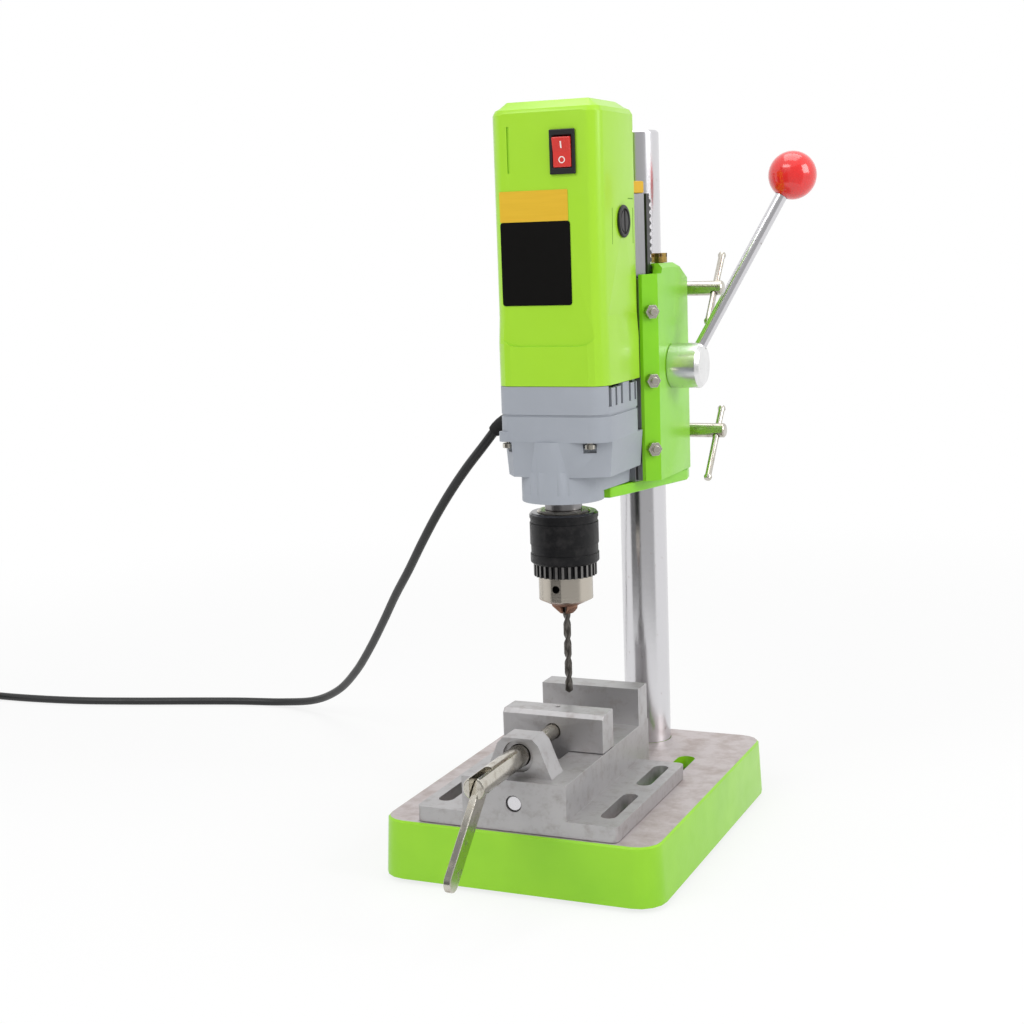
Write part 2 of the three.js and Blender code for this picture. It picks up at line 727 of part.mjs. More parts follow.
function baseCasting() {
  const outer = lofted([
    { outline: baseOutline(-BASE_DRAFT), level: FOOT_SHOW },
    { outline: baseOutline(0), level: baseTop - BASE_EDGE },
    { outline: baseOutline(BASE_EDGE), level: baseTop },
  ]);
  const ceiling = baseTop - BASE_PLATE;
  const hollow = lofted([
    { outline: baseOutline(BASE_WALL - BASE_DRAFT), level: FOOT_SHOW - OVERRUN },
    { outline: baseOutline(BASE_WALL), level: ceiling },
  ]);
  const ribBottom = ceiling - BASE_RIB_DEPTH;
  const inPlate = baseTop - BASE_PLATE / 2;
  const crossRibs = [-BASE_CROSS_RIB_Y, BASE_CROSS_RIB_Y].map((y) =>
    block(-BASE_WIDTH / 2, BASE_WIDTH / 2, y - BASE_RIB / 2, y + BASE_RIB / 2, ribBottom, inPlate));
  const longRibs = [-BASE_LONG_RIB_X, BASE_LONG_RIB_X].map((x) =>
    block(x - BASE_RIB / 2, x + BASE_RIB / 2, -BASE_DEPTH / 2, BASE_DEPTH / 2, ribBottom, inPlate));
  const bosses = footPlaces().map(([x, y]) =>
    disc(FOOT_RADIUS + FOOT_BOSS_WALL, FOOT_SHOW + FOOT_SINK, inPlate, MEDIUM_SIDES).translate(x, y, 0));
  const columnBoss = disc(COLUMN_BOSS_RADIUS, columnFoot - COLUMN_FLOOR, inPlate);
  const stiffening = join(columnBoss.translate(COLUMN_X, COLUMN_Y, 0), ...crossRibs, ...longRibs, ...bosses);
  const stemTop = FOOT_SHOW + FOOT_SINK + FOOT_STEM_LENGTH;
  const stemHoles = footPlaces().map(([x, y]) =>
    disc(FOOT_STEM_RADIUS + GAP, FOOT_SHOW, stemTop, SMALL_SIDES).translate(x, y, 0));
  const slots = [-TABLE_SLOT_X, TABLE_SLOT_X].map((x) =>
    prism(slotOutline(x, -TABLE_SLOT_LENGTH / 2, TABLE_SLOT_LENGTH, TABLE_SLOT_WIDTH),
      ribBottom, baseTop + OVERRUN));
  return cut(
    join(cut(outer, hollow), common(outer, stiffening)),
    disc(COLUMN_RADIUS + GAP, columnFoot, baseTop + OVERRUN).translate(COLUMN_X, COLUMN_Y, 0),
    disc(BOLT_RADIUS + GAP, FOOT_SHOW, baseTop, MEDIUM_SIDES).translate(COLUMN_X, COLUMN_Y, 0),
    disc(TABLE_HOLE_RADIUS, ribBottom, baseTop + OVERRUN).translate(SPINDLE_X, SPINDLE_Y, 0),
    ...stemHoles,
    ...slots,
  );
}

function foot() {
  const height = FOOT_SHOW + FOOT_SINK - GAP;
  return turned([
    [0, 0],
    [FOOT_RADIUS - BASE_EDGE, 0],
    [FOOT_RADIUS, height],
    [FOOT_STEM_RADIUS, height],
    [FOOT_STEM_RADIUS, height + FOOT_STEM_LENGTH],
    [0, height + FOOT_STEM_LENGTH],
  ], MEDIUM_SIDES);
}

function column() {
  const bar = turned([
    [0, 0],
    [COLUMN_RADIUS, 0],
    [COLUMN_RADIUS, COLUMN_LENGTH - COLUMN_CHAMFER],
    [COLUMN_RADIUS - COLUMN_CHAMFER, COLUMN_LENGTH],
    [0, COLUMN_LENGTH],
  ]);
  return cut(bar, disc(BOLT_RADIUS + GAP, -OVERRUN, BOLT_GRIP_IN_COLUMN + OVERRUN, MEDIUM_SIDES));
}

// The bolt's origin is where its washer meets the boss
function columnBolt() {
  const washerBottom = -GAP - BOLT_WASHER;
  const hexagon = arc(0, 0, BOLT_FLATS / Math.sqrt(3), 0, 2 * Math.PI, 6).slice(1);
  return join(
    disc(BOLT_RADIUS, washerBottom, COLUMN_FLOOR + GAP + BOLT_GRIP_IN_COLUMN, MEDIUM_SIDES),
    disc(BOLT_WASHER_RADIUS, washerBottom, -GAP, MEDIUM_SIDES),
    prism(hexagon, washerBottom - BOLT_HEAD, washerBottom + BOLT_WASHER / 2),
  );
}

piece("base_casting", baseCasting(), LIME_CAST);
footPlaces().forEach(([x, y], i) => {
  piece(`foot_${i + 1}`, foot(), BLACK_RUBBER).position.set(x, y, 0);
});
piece("column", column(), CHROME).position.set(COLUMN_X, COLUMN_Y, columnFoot + GAP);
piece("column_bolt", columnBolt(), STEEL).position.set(COLUMN_X, COLUMN_Y, columnFoot - COLUMN_FLOOR);

// Vise

const viseScrewHeight = VISE_RAIL_HEIGHT + VISE_SCREW_ABOVE_RAIL;
const viseTowerTop = VISE_RAIL_HEIGHT + VISE_TOWER_HEIGHT;
const viseJawTop = VISE_RAIL_HEIGHT + VISE_JAW_HEIGHT;
const fixedJawStart = VISE_BODY_DEPTH - VISE_FIXED_JAW_THICKNESS - VISE_FIXED_JAW_FROM_REAR;
const movableJawBack = fixedJawStart - VISE_JAW_GAP;
const movableJawFront = movableJawBack - VISE_JAW_THICKNESS;
const viseSlotX = (VISE_WIDTH / 2 + VISE_BODY_WIDTH / 2) / 2 + VISE_FLANGE_CORNER;

function viseTower() {
  const foot = VISE_TOWER_FOOT / 2;
  const head = VISE_TOWER_HEAD / 2;
  const sunk = VISE_RAIL_HEIGHT - OVERRUN;
  const outline = [
    [-foot, sunk],
    [foot, sunk],
    [foot, VISE_RAIL_HEIGHT],
    [foot - VISE_TOWER_ROUND / 2, VISE_RAIL_HEIGHT + VISE_TOWER_ROUND],
    [head, viseTowerTop - VISE_TOWER_ROUND],
    [head - VISE_TOWER_ROUND, viseTowerTop],
    [VISE_TOWER_ROUND - head, viseTowerTop],
    [-head, viseTowerTop - VISE_TOWER_ROUND],
    [VISE_TOWER_ROUND / 2 - foot, VISE_RAIL_HEIGHT + VISE_TOWER_ROUND],
    [-foot, VISE_RAIL_HEIGHT],
  ];
  return prismAlongY(outline, VISE_TOWER_START, VISE_TOWER_START + VISE_TOWER_DEPTH);
}

function viseBody() {
  const half = VISE_BODY_WIDTH / 2;
  const flange = prism(
    roundedRect(VISE_WIDTH, VISE_FLANGE_DEPTH, VISE_FLANGE_CORNER, 0, VISE_FLANGE_DEPTH / 2), 0, VISE_FLANGE);
  const rails = block(-half, half, 0, VISE_BODY_DEPTH, 0, VISE_RAIL_HEIGHT);
  const fixedJaw = block(-half, half, fixedJawStart, fixedJawStart + VISE_FIXED_JAW_THICKNESS,
    VISE_RAIL_HEIGHT - OVERRUN, viseJawTop);
  const slots = [-viseSlotX, viseSlotX].flatMap((x) => [
    prism(slotOutline(x, VISE_FRONT_SLOT_START, VISE_FRONT_SLOT_LENGTH, VISE_SLOT_WIDTH),
      -OVERRUN, VISE_FLANGE + OVERRUN),
    prism(slotOutline(x, VISE_REAR_SLOT_START, VISE_REAR_SLOT_LENGTH, VISE_SLOT_WIDTH),
      -OVERRUN, VISE_FLANGE + OVERRUN),
  ]);
  const channel = block(-VISE_CHANNEL_WIDTH / 2, VISE_CHANNEL_WIDTH / 2, VISE_FRONT_BLOCK,
    fixedJawStart - OVERRUN, -OVERRUN, VISE_RAIL_HEIGHT + OVERRUN);
  const towerBack = VISE_TOWER_START + VISE_TOWER_DEPTH;
  const screwHole = alongY(disc(VISE_SCREW_RADIUS + VISE_SCREW_CLEARANCE, 0,
    towerBack + OVERRUN, MEDIUM_SIDES));
  const counterbore = alongY(disc(VISE_SCREW_COUNTERBORE_RADIUS, 0,
    VISE_TOWER_START + VISE_SCREW_COUNTERBORE_DEPTH, MEDIUM_SIDES));
  const rodHole = alongY(disc(VISE_ROD_RADIUS + GAP, -OVERRUN, VISE_FRONT_BLOCK + OVERRUN, MEDIUM_SIDES));
  return cut(
    join(flange, rails, viseTower(), fixedJaw),
    channel,
    screwHole.translate(0, 0, viseScrewHeight),
    counterbore.translate(0, 0, viseScrewHeight),
    rodHole.translate(0, 0, VISE_ROD_HEIGHT),
    ...slots,
  );
}

function movableJaw() {
  const half = VISE_BODY_WIDTH / 2;
  const front = movableJawFront;
  const back = movableJawBack;
  const profile = [
    [front, VISE_RAIL_HEIGHT + GAP],
    [back, VISE_RAIL_HEIGHT + GAP],
    [back, viseJawTop],
    [front + VISE_JAW_CHAMFER, viseJawTop],
    [front, viseJawTop - VISE_JAW_CHAMFER],
  ];
  const tongueHalf = VISE_CHANNEL_WIDTH / 2 - GAP;
  const tongue = block(-tongueHalf, tongueHalf, front, back,
    VISE_TONGUE_BOTTOM, VISE_RAIL_HEIGHT + OVERRUN);
  const shankHole = alongY(disc(VISE_SCREW_SHANK_RADIUS + GAP, front - OVERRUN,
    front + VISE_SCREW_SHANK_SINK + GAP, MEDIUM_SIDES));
  const rodEnd = VISE_ROD_SETBACK + VISE_ROD_LENGTH;
  const rodHole = alongY(disc(VISE_ROD_RADIUS + GAP, front - OVERRUN, rodEnd + GAP, MEDIUM_SIDES));
  const grub = disc(VISE_GRUB_RADIUS, viseJawTop - VISE_GRUB_DEPTH, viseJawTop + OVERRUN, SMALL_SIDES);
  return cut(
    join(prismAlongX(profile, -half, half), tongue),
    shankHole.translate(0, 0, viseScrewHeight),
    rodHole.translate(0, 0, VISE_ROD_HEIGHT),
    grub.translate(-VISE_GRUB_RADIUS, back - VISE_GRUB_FROM_REAR, 0),
  );
}

function guideRod() {
  return alongY(turned([
    [0, 0],
    [VISE_ROD_RADIUS - VISE_ROD_CHAMFER, 0],
    [VISE_ROD_RADIUS, VISE_ROD_CHAMFER],
    [VISE_ROD_RADIUS, VISE_ROD_LENGTH],
    [0, VISE_ROD_LENGTH],
  ], MEDIUM_SIDES));
}

// The screw's origin is its front tip
function viseScrew() {
  const shankEnd = VISE_SCREW_FRONT + movableJawFront + VISE_SCREW_SHANK_SINK;
  const shaft = alongY(turned([
    [0, 0],
    [VISE_SCREW_RADIUS - VISE_SCREW_CHAMFER, 0],
    [VISE_SCREW_RADIUS, VISE_SCREW_CHAMFER],
    [VISE_SCREW_RADIUS, VISE_SCREW_THREAD],
    [VISE_SCREW_SHANK_RADIUS, VISE_SCREW_THREAD + VISE_SCREW_RADIUS - VISE_SCREW_SHANK_RADIUS],
    [VISE_SCREW_SHANK_RADIUS, shankEnd],
    [0, shankEnd],
  ], MEDIUM_SIDES));
  const half = VISE_HANDLE_THICKNESS / 2 + GAP;
  const reach = VISE_SCREW_RADIUS + OVERRUN;
  const fork = block(-half, half, -OVERRUN, VISE_SCREW_FORK_LENGTH, -reach, reach);
  const pinHalf = Math.sqrt(VISE_SCREW_RADIUS ** 2 - VISE_PIN_DROP ** 2) - VISE_SCREW_CHAMFER;
  const pin = alongX(disc(VISE_PIN_RADIUS, -pinHalf, pinHalf, SMALL_SIDES));
  return join(cut(shaft, fork), pin.translate(0, VISE_PIN_FROM_TIP, -VISE_PIN_DROP));
}

function viseHandle() {
  const width = VISE_HANDLE_WIDTH;
  const length = VISE_HANDLE_REACH + width;
  const bar = roundedRect(length, width, width / 2, width / 2 - length / 2, 0);
  const half = VISE_HANDLE_THICKNESS / 2;
  const eye = alongX(disc(VISE_PIN_RADIUS + GAP, -half - OVERRUN, half + OVERRUN, SMALL_SIDES));
  return cut(prismAlongX(bar, -half, half), eye);
}

const vise = groupAt(0, VISE_FRONT_Y, baseTop + GAP);
piece("vise_body", viseBody(), MILLED, vise);
piece("movable_jaw", movableJaw(), MILLED, vise);
piece("guide_rod", guideRod(), CHROME, vise).position.set(0, VISE_ROD_SETBACK, VISE_ROD_HEIGHT);
const viseScrewGroup = groupAt(0, -VISE_SCREW_FRONT, viseScrewHeight, vise);
piece("vise_screw", viseScrew(), NICKEL, viseScrewGroup);
const handleGroup = groupAt(0, VISE_PIN_FROM_TIP, -VISE_PIN_DROP, viseScrewGroup);
handleGroup.rotation.x = VISE_HANDLE_ANGLE;
piece("vise_handle", viseHandle(), NICKEL, handleGroup);

// Bracket, slide and feed, in the frame of the column's axis at the bracket's underside

const carriage = groupAt(COLUMN_X, COLUMN_Y, bracketBottom);
const pinionSide = PINION_SIDE_X + PINION_WIDTH;
const rackSide = PINION_SIDE_X - RACK_LEAD_X;
const pinionTip = pinionRadius + GEAR_MODULE * ADDENDUM_SHARE;
const rackPitchLine = pinionBack + pinionRadius;
const rackTips = rackPitchLine - GEAR_MODULE * ADDENDUM_SHARE;
const flankSlope = (SLIDE_BACK_HALF - SLIDE_NECK_HALF) / SLIDE_FLARE_DEPTH;
const flankStretch = Math.hypot(1, flankSlope);
const gibInner = GAP * flankStretch;
const gibOuter = (GAP + GIB_THICKNESS) * flankStretch;
const grooveRight = gibOuter + gibInner;

function columnBush() {
  const top = BRACKET_HEIGHT + OVERRUN;
  const slit = BRACKET_SLIT / 2;
  return cut(
    disc(bushRadius, 0, BRACKET_HEIGHT),
    disc(COLUMN_RADIUS + GAP, -OVERRUN, top),
    block(-slit, slit, 0, bushRadius + OVERRUN, -OVERRUN, top),
  );
}

function bracketOutline() {
  const side = BRACKET_HALF_WIDTH;
  const roundEnd = Math.acos(BRACKET_EAR_HALF / side);
  const right = [[side - BRACKET_CHAMFER, -BRACKET_FRONT], [side, BRACKET_CHAMFER - BRACKET_FRONT]];
  for (let i = 0; i <= ARC_STEPS; i += 1) {
    const turn = (roundEnd * i) / ARC_STEPS;
    right.push([side * Math.cos(turn), BRACKET_SIDE_BACK + BRACKET_ROUND_DEPTH * Math.sin(turn)]);
  }
  right.push([BRACKET_EAR_HALF, BRACKET_EAR_BACK]);
  const left = right.map(([x, y]) => [-x, y]).reverse();
  return [...right, ...left];
}

function bracketSideProfile() {
  const step = BRACKET_STEP_FROM_FRONT - BRACKET_FRONT;
  return [
    [-BRACKET_FRONT - OVERRUN, 0],
    [BRACKET_EAR_BACK + OVERRUN, 0],
    [BRACKET_EAR_BACK + OVERRUN, BRACKET_REAR_HEIGHT],
    [BRACKET_SIDE_BACK, BRACKET_REAR_HEIGHT],
    [BRACKET_SLOPE_START, BRACKET_HEIGHT],
    [step + BRACKET_STEP_RUN, BRACKET_HEIGHT],
    [step, BRACKET_FRONT_HEIGHT],
    [-BRACKET_FRONT - OVERRUN, BRACKET_FRONT_HEIGHT],
  ];
}

// The dovetail groove: the slide's outline, wider by the running gap and, on the right, the gib
function grooveOutline() {
  const leftShift = -gibInner;
  const back = slideBack - GAP;
  const grow = GAP * flankSlope;
  return [
    [leftShift - SLIDE_NECK_HALF, -slideFront - OVERRUN],
    [SLIDE_NECK_HALF + grooveRight, -slideFront - OVERRUN],
    [SLIDE_NECK_HALF + grooveRight, -slideNeckBack],
    [SLIDE_BACK_HALF + grooveRight + grow, -back],
    [leftShift - SLIDE_BACK_HALF - grow, -back],
    [leftShift - SLIDE_NECK_HALF, -slideNeckBack],
  ];
}

function gibScrewLevels() {
  return [0, 1, 2].map((i) => GIB_SCREW_LOWEST + i * GIB_SCREW_PITCH);
}

// The middle of the bracket's front right chamfer, and how far in the gib lies from there
const chamferX = BRACKET_HALF_WIDTH - BRACKET_CHAMFER / 2;
const chamferY = BRACKET_CHAMFER / 2 - BRACKET_FRONT;
const gibFaceX = SLIDE_NECK_HALF + gibOuter + flankSlope * (chamferY + slideNeckBack);
const gibDepth = ((chamferX - gibFaceX) * Math.SQRT2) / (1 + flankSlope);
const gibScrewSetback = GAP + (GIB_SCREW_RADIUS * (1 - flankSlope)) / (1 + flankSlope);

function inGibScrewPlace(geometry, level) {
  // Upright tools are laid along the chamfer's normal, their origin on its face
  return geometry.rotateX(Math.PI / 2).rotateZ(Math.PI / 4).translate(chamferX, chamferY, level);
}

function slideBracket() {
  const top = BRACKET_HEIGHT + OVERRUN;
  const body = common(
    prism(bracketOutline(), 0, BRACKET_HEIGHT),
    prismAlongX(bracketSideProfile(), -BRACKET_HALF_WIDTH - OVERRUN, BRACKET_HALF_WIDTH + OVERRUN),
  );
  const edge = BRACKET_HALF_WIDTH;
  const lost = BRACKET_TOP_CHAMFER;
  const edgeCuts = [1, -1].map((side) => prismAlongY([
    [side * (edge - lost - OVERRUN), top],
    [side * (edge + OVERRUN), BRACKET_HEIGHT - lost - OVERRUN],
    [side * (edge + OVERRUN), top],
  ], -BRACKET_FRONT, BRACKET_EAR_BACK));
  const pocketFront = -rackBack - OVERRUN;
  const rackPocket = block(rackSide - GAP, pinionSide + GAP, pocketFront, GAP - rackTips, -OVERRUN, top);
  const pinionPocket = alongX(disc(pinionTip + GAP, PINION_SIDE_X - GAP, pinionSide + GAP));
  const shaftHole = alongX(disc(PINION_SHAFT_RADIUS + GAP, -edge - OVERRUN, edge + OVERRUN, MEDIUM_SIDES));
  const slit = BRACKET_SLIT / 2;
  const clampHoles = [CLAMP_LOW, CLAMP_HIGH].map((level) =>
    alongX(disc(CLAMP_THREAD_RADIUS + GAP, -edge, edge, MEDIUM_SIDES)).translate(0, CLAMP_FROM_AXIS, level));
  const gibHoles = gibScrewLevels().map((level) =>
    inGibScrewPlace(disc(GIB_SCREW_RADIUS + GAP, -gibDepth - OVERRUN, OVERRUN, SMALL_SIDES), level));
  const plugHole = disc(OIL_PLUG_STEM_RADIUS + GAP, BRACKET_HEIGHT - OIL_PLUG_STEM - GAP, top, SMALL_SIDES);
  return cut(
    body,
    ...edgeCuts,
    disc(bracketBore, -OVERRUN, top),
    prism(grooveOutline(), -OVERRUN, top),
    rackPocket,
    pinionPocket.translate(0, -pinionBack, PINION_HEIGHT),
    shaftHole.translate(0, -pinionBack, PINION_HEIGHT),
    block(-slit, slit, 0, BRACKET_EAR_BACK + OVERRUN, -OVERRUN, top),
    plugHole.translate(OIL_PLUG_X, OIL_PLUG_Y, 0),
    ...clampHoles,
    ...gibHoles,
  );
}

function gibStrip() {
  const front = -slideNeckBack + GAP;
  const back = -slideBack;
  const lean = (y) => SLIDE_NECK_HALF + flankSlope * (y + slideNeckBack);
  const outline = [
    [lean(front) + gibInner, front],
    [lean(front) + gibOuter, front],
    [lean(back) + gibOuter, back],
    [lean(back) + gibInner, back],
  ];
  return prism(outline, GAP, BRACKET_HEIGHT - GIB_SHORTER);
}

// The screw points inwards, with a locknut on the chamfer's face
function gibScrew() {
  const hexagon = arc(0, 0, GIB_NUT_RADIUS, 0, 2 * Math.PI, 6).slice(1);
  const top = GAP + GIB_NUT_HEIGHT + GIB_SCREW_PROUD;
  return join(
    disc(GIB_SCREW_RADIUS, gibScrewSetback - gibDepth, top, SMALL_SIDES),
    prism(hexagon, GAP, GAP + GIB_NUT_HEIGHT),
  );
}

function slideBar() {
  const outline = [
    [-SLIDE_NECK_HALF, -slideFront],
    [SLIDE_NECK_HALF, -slideFront],
    [SLIDE_NECK_HALF, -slideNeckBack],
    [SLIDE_BACK_HALF, -slideBack],
    [-SLIDE_BACK_HALF, -slideBack],
    [-SLIDE_NECK_HALF, -slideNeckBack],
  ];
  return prism(outline, GAP - SHELF_GAP, GAP - SHELF_GAP + SLIDE_LENGTH);
}

const slideTop = GAP - SHELF_GAP + SLIDE_LENGTH;

// The rack's teeth face the pinion, with one tooth level with its axis
function feedRack() {
  const pitch = Math.PI * GEAR_MODULE;
  const tip = GEAR_MODULE * ADDENDUM_SHARE;
  const root = GEAR_MODULE * DEDENDUM_SHARE;
  const halfAtPitch = pitch / 4 - BACKLASH / 8;
  const slope = Math.tan(PRESSURE_ANGLE);
  const top = slideTop;
  const bottom = top - RACK_LENGTH;
  const rootLine = -rackPitchLine - root;
  const tipLine = tip - rackPitchLine;
  const first = Math.ceil((bottom - PINION_HEIGHT + pitch) / pitch);
  const last = Math.floor((top - PINION_HEIGHT - pitch) / pitch);
  const points = [[-rackBack, bottom], [rootLine, bottom]];
  for (let tooth = first; tooth <= last; tooth += 1) {
    const middle = PINION_HEIGHT + tooth * pitch;
    points.push([rootLine, middle - halfAtPitch - root * slope]);
    points.push([tipLine, middle - halfAtPitch + tip * slope]);
    points.push([tipLine, middle + halfAtPitch - tip * slope]);
    points.push([rootLine, middle + halfAtPitch + root * slope]);
  }
  points.push([rootLine, top], [-rackBack, top]);
  return prismAlongX(points, rackSide, rackSide + RACK_WIDTH);
}

// A yellow block on top of the slide, inside its outline, so that it goes down the groove with it
function rackStop() {
  const bottom = slideTop + GAP;
  const flank = (y) => SLIDE_NECK_HALF + flankSlope * (slideNeckBack - y);
  const front = slideNeckBack - GAP;
  const outline = [
    [SLIDE_BACK_HALF - RACK_STOP_WIDTH, -front],
    [flank(front), -front],
    [SLIDE_BACK_HALF, -slideBack],
    [SLIDE_BACK_HALF - RACK_STOP_WIDTH, -slideBack],
  ];
  return prism(outline, bottom, bottom + RACK_STOP_HEIGHT);
}

function headShelf() {
  const top = -SHELF_GAP;
  const centre = SPINDLE_X - COLUMN_X;
  const spindle = SPINDLE_Y - COLUMN_Y;
  const shoulder = spindle + SHELF_SHOULDER_FROM_SPINDLE;
  const tip = spindle + SHELF_TIP_FROM_SPINDLE;
  const quarter = Math.PI / 2;
  const rear = arc(0, 0, SHELF_ROUND, 0, 2 * quarter, 2 * ARC_STEPS);
  const outline = [
    [centre - SHELF_NOSE_HALF, tip],
    [centre + SHELF_NOSE_HALF, tip],
    [centre + (SHELF_NOSE_HALF + SHELF_HEAD_HALF) / 2 + OVERRUN, tip + OVERRUN],
    [centre + SHELF_HEAD_HALF, shoulder],
    ...rear,
    [centre - SHELF_HEAD_HALF, shoulder],
    [centre - (SHELF_NOSE_HALF + SHELF_HEAD_HALF) / 2 - OVERRUN, tip + OVERRUN],
  ];
  const saddle = disc(COLLAR_RADIUS + GAP, top - SHELF_THICKNESS - OVERRUN, OVERRUN);
  return cut(
    prism(outline, top - SHELF_THICKNESS, top),
    disc(SHELF_HOLE_RADIUS, top - SHELF_THICKNESS - OVERRUN, OVERRUN),
    saddle.translate(centre, spindle, 0),
  );
}

function oilPlug() {
  const top = GAP + OIL_PLUG_HEIGHT;
  const crown = cut(
    disc(OIL_PLUG_RADIUS, GAP, top, MEDIUM_SIDES),
    disc(OIL_PLUG_BORE, top - OIL_PLUG_SLOT_DEPTH, top + OVERRUN, SMALL_SIDES),
  );
  const slots = Array.from({ length: OIL_PLUG_SLOTS / 2 }, (_, i) => {
    const half = OIL_PLUG_SLOT_WIDTH / 2;
    const reach = OIL_PLUG_RADIUS + OVERRUN;
    const slot = block(-reach, reach, -half, half, top - OIL_PLUG_SLOT_DEPTH, top + OVERRUN);
    return slot.rotateZ((2 * Math.PI * i) / OIL_PLUG_SLOTS);
  });
  return cut(join(crown, disc(OIL_PLUG_STEM_RADIUS, -OIL_PLUG_STEM, GAP + OVERRUN, SMALL_SIDES)), ...slots);
}

function pinionShaft() {
  const outline = gearOutline(GEAR_MODULE, PINION_TEETH, BACKLASH, 3);
  const halfTooth = Math.PI / PINION_TEETH;
  // A gap between two teeth faces the rack
  const gear = alongX(prism(outline, PINION_SIDE_X, pinionSide).rotateZ(Math.PI + halfTooth));
  const left = -BRACKET_HALF_WIDTH - CUP_DEPTH + CUP_WALL + GAP;
  const right = BRACKET_HALF_WIDTH + LEVER_ROD_FROM_FACE - LEVER_ROD_SEAT + GAP / 2 + OVERRUN;
  return join(alongX(disc(PINION_SHAFT_RADIUS, left, right, MEDIUM_SIDES)), gear);
}

function springCup() {
  const open = -BRACKET_HALF_WIDTH - GAP;
  const closed = open - CUP_DEPTH;
  return alongX(cut(
    disc(CUP_RADIUS, closed, open),
    disc(CUP_RADIUS - CUP_WALL, closed + CUP_WALL, open + OVERRUN),
  ));
}

// A flat strip wound in a spiral round the pinion shaft
function returnSpring() {
  const steps = SPRING_TURNS * MEDIUM_SIDES;
  const turnOf = (i) => (2 * Math.PI * SPRING_TURNS * i) / steps;
  const radiusOf = (i) => SPRING_INNER + ((SPRING_OUTER - SPRING_INNER) * i) / steps;
  const spiral = (offset) => Array.from({ length: steps + 1 }, (_, i) =>
    [(radiusOf(i) + offset) * Math.cos(turnOf(i)), (radiusOf(i) + offset) * Math.sin(turnOf(i))]);
  const outline = [...spiral(SPRING_STRIP), ...spiral(0).reverse()];
  const open = -BRACKET_HALF_WIDTH - GAP - SPRING_SIDE_GAP;
  const closed = -BRACKET_HALF_WIDTH - CUP_DEPTH + CUP_WALL + GAP / 2;
  return alongX(prism(outline, closed, open));
}

piece("column_bush", columnBush(), BRASS, carriage);
piece("slide_bracket", slideBracket(), LIME_CAST, carriage);
piece("gib_strip", gibStrip(), STEEL, carriage);
gibScrewLevels().forEach((level, i) => {
  piece(`gib_screw_${i + 1}`, inGibScrewPlace(gibScrew(), level), NICKEL, carriage);
});
piece("oil_plug", oilPlug(), BRASS, carriage).position.set(OIL_PLUG_X, OIL_PLUG_Y, BRACKET_HEIGHT);
const feedAxis = groupAt(0, -pinionBack, PINION_HEIGHT, carriage);
piece("pinion_shaft", pinionShaft(), STEEL, feedAxis);
piece("spring_cup", springCup(), BLACK_PLASTIC, feedAxis);
piece("return_spring", returnSpring(), DARK_STEEL, feedAxis);
piece("slide_bar", slideBar(), STEEL, carriage);
piece("feed_rack", feedRack(), DARK_STEEL, carriage);
piece("rack_stop", rackStop(), BRASS, carriage);
piece("head_shelf", headShelf(), LIME_CAST, carriage);

// Feed lever, in a frame on the hub's axis where the rod's axis meets it

function leverHub() {
  const inner = GAP - LEVER_ROD_FROM_FACE;
  const outer = inner + LEVER_HUB_LENGTH;
  const blank = alongX(turned([
    [0, inner],
    [LEVER_HUB_RADIUS, inner],
    [LEVER_HUB_RADIUS, outer - LEVER_HUB_CHAMFER],
    [LEVER_HUB_RADIUS - LEVER_HUB_CHAMFER, outer],
    [0, outer],
  ]));
  const shaftEnd = OVERRUN + GAP - LEVER_ROD_SEAT;
  const bore = alongX(disc(PINION_SHAFT_RADIUS + GAP, inner - OVERRUN, shaftEnd + GAP, MEDIUM_SIDES));
  const rodHole = disc(LEVER_ROD_RADIUS + GAP, LEVER_ROD_SEAT, 2 * LEVER_HUB_RADIUS, MEDIUM_SIDES);
  return cut(blank, bore, rodHole.rotateY(LEVER_SPLAY));
}

function leverRod() {
  return disc(LEVER_ROD_RADIUS, LEVER_ROD_SEAT + GAP, LEVER_REACH - LEVER_BALL_SEAT, MEDIUM_SIDES);
}

function leverBall() {
  const ball = new THREE.SphereGeometry(LEVER_BALL_RADIUS, MEDIUM_SIDES, SMALL_SIDES).rotateX(Math.PI / 2);
  const bore = disc(LEVER_ROD_RADIUS + GAP, -2 * LEVER_BALL_RADIUS, GAP - LEVER_BALL_SEAT, SMALL_SIDES);
  return cut(ball, bore).translate(0, 0, LEVER_REACH);
}

const lever = groupAt(BRACKET_HALF_WIDTH + LEVER_ROD_FROM_FACE, 0, 0, feedAxis);
lever.rotation.x = -LEVER_LEAN;
piece("lever_hub", leverHub(), NICKEL, lever);
const leverArm = groupAt(0, 0, 0, lever);
leverArm.rotation.y = LEVER_SPLAY;
piece("lever_rod", leverRod(), CHROME, leverArm);
piece("lever_ball", leverBall(), RED_PLASTIC, leverArm);

// Clamp screws behind the column

function clampScrew() {
  const face = BRACKET_EAR_HALF + GAP;
  const tip = -BRACKET_EAR_HALF;
  const barX = CLAMP_REACH - CLAMP_BAR_FROM_END;
  const rod = alongX(turned([
    [0, tip],
    [CLAMP_THREAD_RADIUS, tip],
    [CLAMP_THREAD_RADIUS, face],
    [CLAMP_RADIUS, face],
    [CLAMP_RADIUS, CLAMP_REACH - OVERRUN],
    [CLAMP_RADIUS - OVERRUN, CLAMP_REACH],
    [0, CLAMP_REACH],
  ], MEDIUM_SIDES));
  const reach = CLAMP_RADIUS + OVERRUN;
  return cut(rod, disc(CLAMP_BAR_RADIUS + GAP, -reach, reach, SMALL_SIDES).translate(barX, 0, 0));
}

